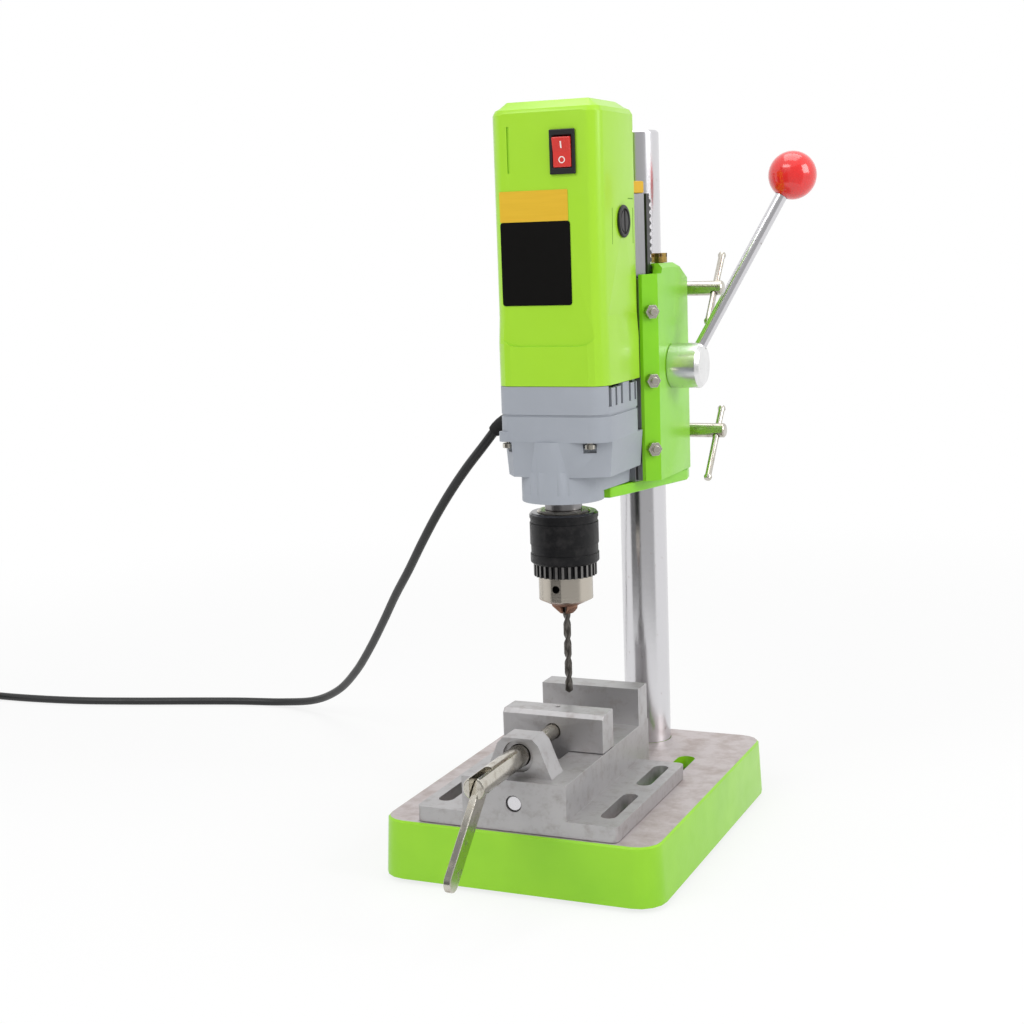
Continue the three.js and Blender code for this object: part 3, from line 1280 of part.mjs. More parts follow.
function clampBar(shift) {
  const half = CLAMP_BAR_LENGTH / 2;
  const neck = half - CLAMP_BAR_HEAD_LENGTH;
  return turned([
    [0, -half],
    [CLAMP_BAR_RADIUS, -half],
    [CLAMP_BAR_HEAD, -neck],
    [CLAMP_BAR_RADIUS, CLAMP_BAR_HEAD_LENGTH - neck],
    [CLAMP_BAR_RADIUS, neck - CLAMP_BAR_HEAD_LENGTH],
    [CLAMP_BAR_HEAD, neck],
    [CLAMP_BAR_RADIUS, half],
    [0, half],
  ], SMALL_SIDES).translate(CLAMP_REACH - CLAMP_BAR_FROM_END, 0, shift);
}

[["low", CLAMP_LOW, CLAMP_LOW_BAR_SHIFT], ["high", CLAMP_HIGH, 0]].forEach(([name, level, shift]) => {
  const clamp = groupAt(0, CLAMP_FROM_AXIS, level, carriage);
  clamp.rotation.x = -CLAMP_BAR_LEAN;
  piece(`clamp_screw_${name}`, clampScrew(), NICKEL, clamp);
  piece(`clamp_bar_${name}`, clampBar(shift), NICKEL, clamp);
});

// Motor head, in the frame of the spindle's axis at the nose collar's lower face

const head = groupAt(SPINDLE_X, SPINDLE_Y, noseLevel);
const headFront = HEAD_OFFSET_Y - HEAD_DEPTH / 2;
const headLeft = HEAD_OFFSET_X - HEAD_WIDTH / 2;
const headRight = HEAD_OFFSET_X + HEAD_WIDTH / 2;
const coverTop = SEAM_LEVEL + COVER_HEIGHT;

function headOutline(inset) {
  return roundedRect(HEAD_WIDTH - 2 * inset, HEAD_DEPTH - 2 * inset,
    Math.max(HEAD_CORNER - inset, OVERRUN), HEAD_OFFSET_X, HEAD_OFFSET_Y);
}

// The lower body: cut back at both front corners, more on the right
function apronOutline(inset) {
  const front = headFront + inset;
  return [
    [headLeft + APRON_LEFT_CUT_X, front],
    [headRight - APRON_RIGHT_CUT_X, front],
    [headRight - inset, headFront + APRON_RIGHT_CUT_Y],
    [headRight - inset, housingBack],
    [headLeft + inset, housingBack],
    [headLeft + inset, headFront + APRON_LEFT_CUT_Y],
  ];
}

// The nose: round in front, drawn back to the slide
function noseOutline(radius, half) {
  return [
    ...arc(0, 0, radius, Math.PI, 2 * Math.PI, 3 * ARC_STEPS),
    [HEAD_OFFSET_X + half, housingBack],
    [HEAD_OFFSET_X - half, housingBack],
  ];
}

// One vent group: slots that hang from a bar
function ventCut(start) {
  const left = headRight - HOUSING_WALL - OVERRUN;
  const right = headRight + OVERRUN;
  const front = headFront + start;
  const back = front + VENT_GROUP_LENGTH;
  const top = VENT_LEVEL + VENT_HEIGHT;
  const pitch = (VENT_GROUP_LENGTH - VENT_SLOT_WIDTH) / (VENT_SLOTS - 1);
  const slots = Array.from({ length: VENT_SLOTS }, (_, i) =>
    block(left, right, front + i * pitch, front + i * pitch + VENT_SLOT_WIDTH, VENT_LEVEL, top));
  return join(block(left, right, front, back, top - VENT_BAR, top), ...slots);
}

function housingScrewPlaces() {
  const y = headFront + HOUSING_SCREW_FROM_FRONT;
  return [[HOUSING_SCREW_LEFT_X, y], [HOUSING_SCREW_RIGHT_X, y]];
}

const screwSeatLevel = SHOULDER_LEVEL - OVERRUN;

function gearHousing() {
  const collar = disc(COLLAR_RADIUS, 0, APRON_LEVEL + OVERRUN);
  const nose = lofted([
    { outline: noseOutline(COLLAR_RADIUS, TONGUE_HALF), level: TONGUE_LEVEL },
    { outline: noseOutline(COLLAR_RADIUS, TONGUE_HALF + APRON_TAPER), level: SHOULDER_LEVEL },
  ]);
  const apron = lofted([
    { outline: apronOutline(APRON_TAPER), level: COLLAR_HEIGHT },
    { outline: apronOutline(0), level: SHOULDER_LEVEL + OVERRUN },
  ]);
  const shell = prism(headOutline(0), SHOULDER_LEVEL, SEAM_LEVEL);
  const wall = HOUSING_WALL;
  const chamber = prism(headOutline(wall), SHOULDER_LEVEL + wall, SEAM_LEVEL + OVERRUN);
  const tipOf = (teeth) => SPINDLE_GEAR_MODULE * (teeth / 2 + ADDENDUM_SHARE);
  const gearPit = disc(tipOf(SPINDLE_GEAR_TEETH) + 2 * GAP, GEAR_CHAMBER_FLOOR, SEAM_LEVEL);
  const motorPit = disc(tipOf(MOTOR_GEAR_TEETH) + 2 * GAP, GEAR_CHAMBER_FLOOR, SEAM_LEVEL, MEDIUM_SIDES);
  const bearingSeat = disc(SPINDLE_BEARING_RADIUS + GAP, SPINDLE_BEARING_LEVEL - GAP,
    GEAR_CHAMBER_FLOOR + OVERRUN);
  const spindleHole = disc(SPINDLE_COLLAR_RADIUS + 2 * GAP, -OVERRUN, SPINDLE_BEARING_LEVEL + OVERRUN);
  const lineTop = PART_LINE_LEVEL + PART_LINE_WIDTH;
  const partLine = cut(
    prism(headOutline(-OVERRUN), PART_LINE_LEVEL, lineTop),
    prism(headOutline(PART_LINE_DEPTH), PART_LINE_LEVEL - OVERRUN, lineTop + OVERRUN),
  );
  const screwPits = housingScrewPlaces().flatMap(([x, y]) => {
    const radius = HOUSING_SCREW_RADIUS + 2 * GAP;
    const low = screwSeatLevel - 2 * HOUSING_SCREW_HEIGHT;
    const holeTop = screwSeatLevel + HOUSING_SCREW_SINK + GAP;
    return [
      disc(radius, low, screwSeatLevel, MEDIUM_SIDES).translate(x, y, 0),
      block(x - radius, x + radius, headFront - OVERRUN, y, low, screwSeatLevel),
      disc(HOUSING_SCREW_SHANK + GAP, screwSeatLevel - OVERRUN, holeTop, SMALL_SIDES).translate(x, y, 0),
    ];
  });
  const reliefHole = alongX(disc(RELIEF_ROOT_RADIUS + GAP, headLeft - OVERRUN,
    headLeft + wall + OVERRUN, MEDIUM_SIDES));
  // Posts in the chamber's corners carry the gear plate
  const rearY = 2 * HEAD_OFFSET_Y - headFront - HOUSING_SCREW_FROM_FRONT;
  const places = housingScrewPlaces().flatMap(([x, y]) => [[x, y], [x, rearY]]);
  const posts = places.map(([x, y]) =>
    disc(HOUSING_POST_RADIUS, SHOULDER_LEVEL, PLATE_LEVEL - GAP, MEDIUM_SIDES).translate(x, y, 0));
  return cut(
    join(cut(join(collar, nose, apron, shell), chamber), ...posts),
    gearPit,
    motorPit.translate(HEAD_OFFSET_X, motorY, 0),
    bearingSeat,
    spindleHole,
    partLine,
    ventCut(VENT_FRONT_START),
    ventCut(VENT_REAR_START),
    reliefHole.translate(0, RELIEF_Y, RELIEF_LEVEL),
    ...screwPits,
  );
}

function housingScrew() {
  return join(
    disc(HOUSING_SCREW_RADIUS, -GAP - HOUSING_SCREW_HEIGHT, -GAP, SMALL_SIDES),
    disc(HOUSING_SCREW_SHANK, -GAP - OVERRUN, HOUSING_SCREW_SINK, SMALL_SIDES),
  );
}

function motorCover() {
  const proud = COVER_SKIRT_PROUD;
  const bottom = SEAM_LEVEL + GAP;
  const crownBase = coverTop - COVER_CROWN;
  const outer = lofted([
    { outline: headOutline(0), level: bottom },
    { outline: headOutline(0), level: SEAM_LEVEL + COVER_SKIRT },
    { outline: headOutline(proud), level: SEAM_LEVEL + COVER_SKIRT + COVER_SKIRT_TAPER },
    { outline: headOutline(proud), level: crownBase - COVER_EDGE },
    { outline: headOutline(proud + COVER_EDGE / 3), level: crownBase - COVER_EDGE / 3 },
    { outline: headOutline(proud + COVER_EDGE), level: crownBase },
    { outline: headOutline(proud + 2 * COVER_EDGE), level: coverTop },
  ]);
  const wall = proud + COVER_WALL;
  const ceiling = crownBase - COVER_WALL;
  const cavity = prism(headOutline(wall), bottom - OVERRUN, ceiling);
  const panelLeft = HEAD_OFFSET_X - PANEL_LEFT;
  const panelRight = HEAD_OFFSET_X + PANEL_RIGHT;
  const roundLevel = SEAM_LEVEL + PANEL_BOTTOM + PANEL_ROUND;
  const panel = prismAlongY([
    ...arc(panelRight - PANEL_ROUND, roundLevel, PANEL_ROUND, -Math.PI / 2, 0),
    [panelRight, coverTop + OVERRUN],
    [panelLeft, coverTop + OVERRUN],
    ...arc(panelLeft + PANEL_ROUND, roundLevel, PANEL_ROUND, -Math.PI, -Math.PI / 2),
  ], headFront - OVERRUN, panelFace);
  const grooveX = HEAD_OFFSET_X - GROOVE_X;
  const grooveBottom = SEAM_LEVEL + GROOVE_BOTTOM;
  const groove = block(grooveX, grooveX + GROOVE_WIDTH, panelFace - OVERRUN, panelFace + GROOVE_DEPTH,
    grooveBottom, grooveBottom + GROOVE_LENGTH);
  // A cup in the roof holds the upper bearing
  const cupTop = ceiling + COVER_WALL / 2;
  const cup = cut(
    disc(BEARING_RADIUS + GAP + BEARING_SEAT_WALL, UPPER_BEARING_LEVEL, cupTop, MEDIUM_SIDES),
    disc(BEARING_RADIUS + GAP, UPPER_BEARING_LEVEL - OVERRUN,
      UPPER_BEARING_LEVEL + BEARING_WIDTH + GAP, MEDIUM_SIDES),
    disc(MOTOR_SHAFT_RADIUS + 2 * GAP, UPPER_BEARING_LEVEL, MOTOR_SHAFT_TOP + GAP, MEDIUM_SIDES),
  );
  const brushHole = alongX(disc(BRUSH_STEM_RADIUS + GAP, headLeft - OVERRUN,
    headRight + OVERRUN, MEDIUM_SIDES));
  const opening = block(switchLeft + SWITCH_FRAME / 2, switchLeft + SWITCH_WIDTH - SWITCH_FRAME / 2,
    headFront - OVERRUN, panelFace + wall + OVERRUN,
    switchBottom + SWITCH_FRAME / 2, switchBottom + SWITCH_HEIGHT - SWITCH_FRAME / 2);
  return cut(
    join(cut(outer, cavity), cup.translate(HEAD_OFFSET_X, motorY, 0)),
    panel,
    groove,
    brushHole.translate(0, motorY, brushLevel),
    opening,
  );
}

const switchLeft = HEAD_OFFSET_X + SWITCH_X - SWITCH_WIDTH / 2;
const switchBottom = coverTop - SWITCH_INSET - SWITCH_HEIGHT;
const brushLevel = SEAM_LEVEL + BRUSH_LEVEL;
const panelFace = headFront + PANEL_DEPTH;

function switchBezel() {
  const left = switchLeft;
  const right = left + SWITCH_WIDTH;
  const top = switchBottom + SWITCH_HEIGHT;
  const flange = block(left, right, panelFace - GAP - SWITCH_PROUD, panelFace - GAP, switchBottom, top);
  const side = SWITCH_FRAME / 2 + GAP;
  const box = block(left + side, right - side, panelFace - GAP - OVERRUN, panelFace + SWITCH_BODY_DEPTH,
    switchBottom + side, top - side);
  const well = block(left + SWITCH_FRAME, right - SWITCH_FRAME, panelFace - SWITCH_PROUD - OVERRUN,
    panelFace + SWITCH_STOP, switchBottom + SWITCH_FRAME_END, top - SWITCH_FRAME_END);
  return cut(join(flange, box), well);
}

// The rocker turns about its middle, behind its face
function switchRocker() {
  const half = SWITCH_HEIGHT / 2 - SWITCH_FRAME_END - 2 * GAP;
  const front = -SWITCH_PROUD - ROCKER_PROUD;
  const profile = [
    [0, -ROCKER_THICKNESS / 2],
    [front + ROCKER_THICKNESS, -half],
    [front, -half],
    [front + ROCKER_PROUD / 2, 0],
    [front, half],
    [front + ROCKER_THICKNESS, half],
    [0, ROCKER_THICKNESS / 2],
  ];
  const width = SWITCH_WIDTH / 2 - SWITCH_FRAME - GAP;
  return prismAlongX(profile, -width, width);
}

// A screwed cap with a coin slot, drawn along +X with its face outwards
function brushCap() {
  const cap = turned([
    [0, -BRUSH_STEM],
    [BRUSH_STEM_RADIUS, -BRUSH_STEM],
    [BRUSH_STEM_RADIUS, GAP],
    [BRUSH_CAP_RADIUS, GAP],
    [BRUSH_CAP_RADIUS, GAP + BRUSH_CAP_PROUD],
    [0, GAP + BRUSH_CAP_PROUD],
  ], MEDIUM_SIDES);
  const half = BRUSH_SLOT_WIDTH / 2;
  const reach = BRUSH_STEM_RADIUS;
  const top = GAP + BRUSH_CAP_PROUD;
  return alongX(cut(cap, block(-reach, reach, -half, half, top - BRUSH_SLOT_DEPTH, top + OVERRUN)));
}

piece("gear_housing", gearHousing(), GREY_PLASTIC, head);
piece("motor_cover", motorCover(), LIME, head);
housingScrewPlaces().forEach(([x, y], i) => {
  piece(`housing_screw_${i + 1}`, housingScrew(), NICKEL, head).position.set(x, y, screwSeatLevel);
});
piece("switch_bezel", switchBezel(), BLACK_PLASTIC, head);
const rocker = piece("switch_rocker", switchRocker(), RED_PLASTIC, head);
rocker.position.set(HEAD_OFFSET_X + SWITCH_X, panelFace, switchBottom + SWITCH_HEIGHT / 2);
rocker.rotation.x = ROCKER_TILT;
const coverSide = HEAD_WIDTH / 2 - COVER_SKIRT_PROUD;
const rightCap = piece("brush_cap_right", brushCap(), BLACK_PLASTIC, head);
rightCap.position.set(HEAD_OFFSET_X + coverSide, motorY, brushLevel);
const leftCap = piece("brush_cap_left", brushCap(), BLACK_PLASTIC, head);
leftCap.position.set(HEAD_OFFSET_X - coverSide, motorY, brushLevel);
leftCap.rotation.z = Math.PI;

// Motor and gears, in the frame of the motor's axis

const motor = groupAt(HEAD_OFFSET_X, motorY, 0, head);

function bearing(outer, inner, width) {
  const lip = width / 8;
  return turned([
    [inner, 0],
    [outer, 0],
    [outer, width],
    [outer - lip, width],
    [outer - lip, width - lip],
    [inner + lip, width - lip],
    [inner + lip, width],
    [inner, width],
    [inner, 0],
  ], MEDIUM_SIDES);
}

// A plate between the gears and the motor, with the upper spindle bush and a bearing seat
function gearPlate() {
  const plate = prism(headOutline(HOUSING_WALL + GAP), PLATE_LEVEL, PLATE_LEVEL + PLATE_THICKNESS);
  const top = PLATE_LEVEL + PLATE_THICKNESS + OVERRUN;
  const seat = disc(BEARING_RADIUS + GAP, PLATE_LEVEL - OVERRUN, top, MEDIUM_SIDES);
  return cut(
    plate,
    seat.translate(HEAD_OFFSET_X, motorY, 0),
    disc(SPINDLE_TOP_RADIUS + GAP, PLATE_LEVEL - OVERRUN, top, MEDIUM_SIDES),
  );
}

// The armature: pinion, shaft, fan, slotted core and commutator on one shaft
function armature() {
  const halfTooth = Math.PI / MOTOR_GEAR_TEETH;
  const toSpindle = Math.atan2(-motorY, -HEAD_OFFSET_X);
  const outline = gearOutline(SPINDLE_GEAR_MODULE, MOTOR_GEAR_TEETH, SPINDLE_GEAR_BACKLASH, 3);
  const gearTop = MOTOR_GEAR_LEVEL + MOTOR_GEAR_WIDTH;
  const gear = prism(outline, MOTOR_GEAR_LEVEL, gearTop).rotateZ(toSpindle + halfTooth);
  const core = disc(CORE_RADIUS, CORE_LEVEL, CORE_LEVEL + CORE_LENGTH);
  const slots = Array.from({ length: CORE_SLOTS }, (_, i) => {
    const half = CORE_SLOT_WIDTH / 2;
    const slot = block(CORE_RADIUS - CORE_SLOT_DEPTH, CORE_RADIUS + OVERRUN, -half, half,
      CORE_LEVEL - OVERRUN, CORE_LEVEL + CORE_LENGTH + OVERRUN);
    return slot.rotateZ((2 * Math.PI * i) / CORE_SLOTS);
  });
  const blades = Array.from({ length: FAN_BLADES }, (_, i) => {
    const blade = block(MOTOR_SHAFT_RADIUS - OVERRUN, FAN_RADIUS, 0, FAN_BLADE_WIDTH,
      FAN_LEVEL, FAN_LEVEL + FAN_HEIGHT);
    return blade.rotateZ((2 * Math.PI * i) / FAN_BLADES);
  });
  const commutator = disc(COMMUTATOR_RADIUS, COMMUTATOR_LEVEL,
    COMMUTATOR_LEVEL + COMMUTATOR_LENGTH, MEDIUM_SIDES);
  const shaft = turned([
    [0, gearTop - OVERRUN],
    [MOTOR_SHAFT_RADIUS, gearTop - OVERRUN],
    [MOTOR_SHAFT_RADIUS, MOTOR_SHAFT_TOP],
    [0, MOTOR_SHAFT_TOP],
  ], MEDIUM_SIDES);
  const fanDisc = disc(FAN_RADIUS, FAN_LEVEL, FAN_LEVEL + FAN_DISC, MEDIUM_SIDES);
  return join(shaft, gear, fanDisc, ...blades, cut(core, ...slots), commutator);
}

function stator() {
  const inset = COVER_SKIRT_PROUD + COVER_WALL + GAP;
  const outline = headOutline(inset);
  const moved = outline.map(([x, y]) => [x - HEAD_OFFSET_X, y - motorY]);
  const front = Math.min(...moved.map(([, y]) => y));
  const back = Math.max(...moved.map(([, y]) => y));
  const blank = prism(moved, CORE_LEVEL - STATOR_BACK, CORE_LEVEL + CORE_LENGTH + STATOR_BACK);
  const half = CORE_RADIUS + STATOR_GAP;
  const levels = [CORE_LEVEL - 2 * STATOR_BACK, CORE_LEVEL + CORE_LENGTH + 2 * STATOR_BACK];
  const bore = disc(half, ...levels);
  // Winding windows in front of the bore and behind it
  const windows = [
    block(-half, half, front + STATOR_BACK, -CORE_RADIUS / 2, ...levels),
    block(-half, half, CORE_RADIUS / 2, Math.max(back - STATOR_BACK, CORE_RADIUS / 2 + OVERRUN), ...levels),
  ];
  return cut(blank, bore, ...windows);
}

piece("gear_plate", gearPlate(), MILLED, head);
piece("armature", armature(), COPPER, motor);
piece("stator", stator(), DARK_STEEL, motor);
[["lower_bearing", PLATE_LEVEL], ["upper_bearing", UPPER_BEARING_LEVEL]].forEach(([name, level]) => {
  const race = bearing(BEARING_RADIUS, MOTOR_SHAFT_RADIUS + GAP, BEARING_WIDTH);
  piece(name, race, CHROME, motor).position.set(0, 0, level);
});

// Spindle, chuck and bit, on the spindle's axis

function spindle() {
  const outline = gearOutline(SPINDLE_GEAR_MODULE, SPINDLE_GEAR_TEETH, SPINDLE_GEAR_BACKLASH, 2);
  const gearTop = SPINDLE_GEAR_LEVEL + SPINDLE_GEAR_WIDTH;
  const toMotor = Math.atan2(motorY, HEAD_OFFSET_X);
  const gear = prism(outline, SPINDLE_GEAR_LEVEL, gearTop).rotateZ(toMotor);
  const bearingTop = SPINDLE_BEARING_LEVEL + SPINDLE_BEARING_WIDTH;
  const shaft = turned([
    [0, -CHUCK_DROP - SPINDLE_THREAD],
    [SPINDLE_THREAD_RADIUS, -CHUCK_DROP - SPINDLE_THREAD],
    [SPINDLE_THREAD_RADIUS, GAP - CHUCK_DROP],
    [SPINDLE_COLLAR_RADIUS, GAP - CHUCK_DROP],
    [SPINDLE_COLLAR_RADIUS, SPINDLE_BEARING_LEVEL - GAP],
    [SPINDLE_RADIUS, SPINDLE_BEARING_LEVEL - GAP],
    [SPINDLE_RADIUS, bearingTop + GAP],
    [SPINDLE_COLLAR_RADIUS, bearingTop + GAP],
    [SPINDLE_COLLAR_RADIUS, gearTop],
    [SPINDLE_TOP_RADIUS, gearTop],
    [SPINDLE_TOP_RADIUS, PLATE_LEVEL + PLATE_THICKNESS],
    [0, PLATE_LEVEL + PLATE_THICKNESS],
  ], MEDIUM_SIDES);
  return join(shaft, gear);
}

const chuckTop = -CHUCK_DROP;
const chuckBottom = chuckTop - CHUCK_LENGTH;
const coneTop = chuckBottom + CHUCK_CONE;
const toothRingTop = chuckTop - CHUCK_SLEEVE_TOP - CHUCK_SLEEVE_LENGTH;
const keyHoleLevel = chuckTop - CHUCK_KEY_HOLE_LEVEL;

function jawTurn(i) {
  return (2 * Math.PI * i) / 3 + Math.PI / 2;
}

// Upright geometry is tilted outwards, its origin on the jaw's axis at the tip
function inJawPlace(geometry) {
  return geometry.rotateY(JAW_LEAN).translate(JAW_TIP_X, 0, chuckBottom - JAW_PROUD);
}

function chuckBody() {
  const sleeveTop = chuckTop - CHUCK_SLEEVE_TOP;
  const blank = turned([
    [0, chuckBottom],
    [CHUCK_CONE_RADIUS, chuckBottom],
    [CHUCK_BODY_RADIUS, coneTop],
    [CHUCK_BODY_RADIUS, toothRingTop - CHUCK_TOOTH_RING + GAP],
    [CHUCK_RING_RADIUS, toothRingTop - CHUCK_TOOTH_RING + GAP],
    [CHUCK_RING_RADIUS, sleeveTop],
    [CHUCK_RING_RADIUS + OVERRUN, sleeveTop],
    [CHUCK_RING_RADIUS, chuckTop],
    [0, chuckTop],
  ]);
  const threadHole = disc(SPINDLE_THREAD_RADIUS + GAP, chuckTop - SPINDLE_THREAD - GAP,
    chuckTop + OVERRUN, MEDIUM_SIDES);
  const jawTop = chuckBottom - JAW_PROUD + (JAW_LENGTH + JAW_TRAVEL) * Math.cos(JAW_LEAN);
  const jawBore = disc(CHUCK_BORE_RADIUS, chuckBottom - OVERRUN, jawTop, MEDIUM_SIDES);
  const jawHoles = [0, 1, 2].map((i) => {
    const hole = disc(JAW_RADIUS + GAP, -JAW_PROUD, JAW_LENGTH + JAW_TRAVEL + GAP, MEDIUM_SIDES);
    return inJawPlace(hole).rotateZ(jawTurn(i));
  });
  const bitHole = disc(BIT_RADIUS + GAP, chuckBottom, BIT_LENGTH - BIT_TIP_DROP + GAP, SMALL_SIDES);
  const keyHoles = [0, 1, 2].map((i) => {
    const reach = CHUCK_BODY_RADIUS + OVERRUN;
    const hole = alongX(disc(CHUCK_KEY_HOLE_RADIUS, reach - CHUCK_KEY_HOLE_DEPTH - OVERRUN,
      reach, SMALL_SIDES));
    return hole.translate(0, 0, keyHoleLevel).rotateZ(jawTurn(i) + Math.PI);
  });
  return cut(blank, threadHole, jawBore, bitHole, ...jawHoles, ...keyHoles);
}

// The knurled sleeve, with a ring of key teeth round its lower edge
function chuckSleeve() {
  const top = chuckTop - CHUCK_SLEEVE_TOP - GAP;
  const radius = CHUCK_SLEEVE_RADIUS;
  const worn = radius - CHUCK_SLEEVE_BAND;
  const bore = CHUCK_RING_RADIUS + GAP;
  const bandTop = top - CHUCK_SLEEVE_LENGTH * CHUCK_BAND_TOP_SHARE;
  const bandBottom = top - CHUCK_SLEEVE_LENGTH * CHUCK_BAND_BOTTOM_SHARE;
  const sleeve = turned([
    [bore, toothRingTop],
    [radius - CHUCK_SLEEVE_EDGE, toothRingTop],
    [radius, toothRingTop + CHUCK_SLEEVE_EDGE],
    [radius, bandBottom - CHUCK_BAND_WIDTH],
    [worn, bandBottom - CHUCK_BAND_WIDTH],
    [worn, bandBottom],
    [radius, bandBottom],
    [radius, bandTop],
    [worn, bandTop],
    [worn, bandTop + CHUCK_BAND_WIDTH / 2],
    [radius, bandTop + CHUCK_BAND_WIDTH / 2],
    [radius, top - CHUCK_SLEEVE_EDGE],
    [radius - CHUCK_SLEEVE_EDGE, top],
    [bore, top],
    [bore, toothRingTop],
  ]);
  const teeth = [];
  for (let i = 0; i < CHUCK_TEETH; i += 1) {
    const middle = (2 * Math.PI * i) / CHUCK_TEETH;
    const step = Math.PI / CHUCK_TEETH;
    const tip = CHUCK_TOOTH_RING_RADIUS;
    const valley = tip - CHUCK_TOOTH_DEPTH;
    teeth.push(...arc(0, 0, tip, middle - step / 2, middle + step / 4, 1));
    teeth.push(...arc(0, 0, valley, middle + step / 2, middle + step, 1));
  }
  const ringBottom = toothRingTop - CHUCK_TOOTH_RING + 2 * GAP;
  const ring = cut(
    prism(teeth, ringBottom, toothRingTop + OVERRUN),
    disc(bore, ringBottom - OVERRUN, toothRingTop + 2 * OVERRUN),
  );
  return join(sleeve, ring);
}

// One of three leaning jaws: a round bar, flat towards the bit and cut back outside at the tip
function chuckJaw() {
  const bottom = chuckBottom - JAW_PROUD;
  const widest = CHUCK_BODY_RADIUS;
  const bar = inJawPlace(disc(JAW_RADIUS, -JAW_RADIUS, JAW_LENGTH, MEDIUM_SIDES));
  const taper = turned([
    [0, bottom],
    [JAW_TIP_X, bottom],
    [widest, bottom + widest - JAW_TIP_X],
    [widest, chuckTop],
    [0, chuckTop],
  ], MEDIUM_SIDES);
  const face = BIT_RADIUS + GAP;
  return common(common(bar, taper), block(face, widest, -widest, widest, bottom, chuckTop));
}

function bitSection(turn, radius) {
  const quarter = Math.PI / 2;
  const [landStart, landEnd] = BIT_LAND_SHARES.map((share) => share * quarter);
  const [fluteStart, fluteEnd] = BIT_FLUTE_SHARES.map((share) => share * quarter);
  const points = [0, 2 * quarter].flatMap((side) => [
    ...arc(0, 0, radius, side + landStart, side + landEnd, 3),
    ...arc(0, 0, radius * BIT_WEB_SHARE, side + fluteStart, side + fluteEnd, 1),
  ]);
  return points.map(([x, y]) => [
    x * Math.cos(turn) - y * Math.sin(turn),
    x * Math.sin(turn) + y * Math.cos(turn),
  ]);
}

// A twist drill: a pointed, fluted length under a plain shank
function drillBit() {
  const steps = Math.round((BIT_FLUTE_LENGTH / BIT_FLUTE_PITCH) * BIT_STEPS_PER_TURN);
  const rings = [{ outline: bitSection(0, GAP), level: 0 }];
  for (let i = 0; i <= steps; i += 1) {
    const along = (BIT_FLUTE_LENGTH * i) / steps;
    const turn = (2 * Math.PI * along) / BIT_FLUTE_PITCH;
    rings.push({ outline: bitSection(turn, BIT_RADIUS), level: BIT_POINT + along });
  }
  const shank = disc(BIT_RADIUS, BIT_POINT + BIT_FLUTE_LENGTH - OVERRUN, BIT_LENGTH, SMALL_SIDES);
  return join(lofted(rings), shank);
}

const spindleAxis = groupAt(0, 0, 0, head);
piece("spindle", spindle(), STEEL, spindleAxis);
const spindleBearing = bearing(SPINDLE_BEARING_RADIUS, SPINDLE_RADIUS + GAP, SPINDLE_BEARING_WIDTH);
piece("spindle_bearing", spindleBearing, CHROME, spindleAxis).position.set(0, 0, SPINDLE_BEARING_LEVEL);
piece("chuck_body", chuckBody(), CHROME, spindleAxis);
piece("chuck_sleeve", chuckSleeve(), BLACK_SLEEVE, spindleAxis);
for (let i = 0; i < 3; i += 1) {
  piece(`chuck_jaw_${i + 1}`, chuckJaw(), STEEL, spindleAxis).rotation.z = jawTurn(i);
}
piece("drill_bit", drillBit(), DARK_STEEL, spindleAxis).position.set(0, 0, -BIT_TIP_DROP);

// Mains cord: relief on the head's left side, a free stretch, a coil on the bench and the plug

function strainRelief() {
  const x = headLeft;
  const points = [new THREE.Vector3(x + HOUSING_WALL, 0, 0), new THREE.Vector3(x - GAP, 0, 0)];
  for (let i = 0; i <= RELIEF_STEPS; i += 1) {
    const turn = (RELIEF_BEND * i) / RELIEF_STEPS;
    const left = x - RELIEF_STUB - RELIEF_BEND_RADIUS * Math.sin(turn);
    points.push(new THREE.Vector3(left, 0, RELIEF_BEND_RADIUS * (Math.cos(turn) - 1)));
  }
  const last = points.length - 1;
  const radii = points.map((_, i) =>
    THREE.MathUtils.lerp(RELIEF_ROOT_RADIUS, RELIEF_TIP_RADIUS, i / last));
  return tubeThrough(points, radii, SMALL_SIDES);
}

piece("strain_relief", strainRelief(), BLACK_RUBBER, head).position.set(0, RELIEF_Y, RELIEF_LEVEL);

function cordLead() {
  const bendX = SPINDLE_X + headLeft - RELIEF_STUB - RELIEF_BEND_RADIUS * Math.sin(RELIEF_BEND);
  const bendZ = noseLevel + RELIEF_LEVEL + RELIEF_BEND_RADIUS * (Math.cos(RELIEF_BEND) - 1);
  const start = new THREE.Vector3(
    bendX - GAP * Math.cos(RELIEF_BEND),
    SPINDLE_Y + RELIEF_Y,
    bendZ - GAP * Math.sin(RELIEF_BEND),
  );
  const end = new THREE.Vector3(
    COIL_X + CORD_DIAMETER + GAP,
    COIL_Y + COIL_OUTER_RADIUS,
    CORD_DIAMETER / 2 + CORD_LIFT,
  );
  const route = [start, ...CORD_POINTS.map((point) => new THREE.Vector3(...point)), end];
  const curve = new THREE.CatmullRomCurve3(route, false, "centripetal");
  const section = outlineShape(arc(0, 0, CORD_DIAMETER / 2, 0, 2 * Math.PI, CORD_SIDES).slice(1));
  console.log(`free cord: ${curve.getLength().toFixed(0)} mm`);
  return new THREE.ExtrudeGeometry(section, { steps: CORD_STEPS, extrudePath: curve, bevelEnabled: false });
}

piece("cord_lead", cordLead(), BLACK_RUBBER);

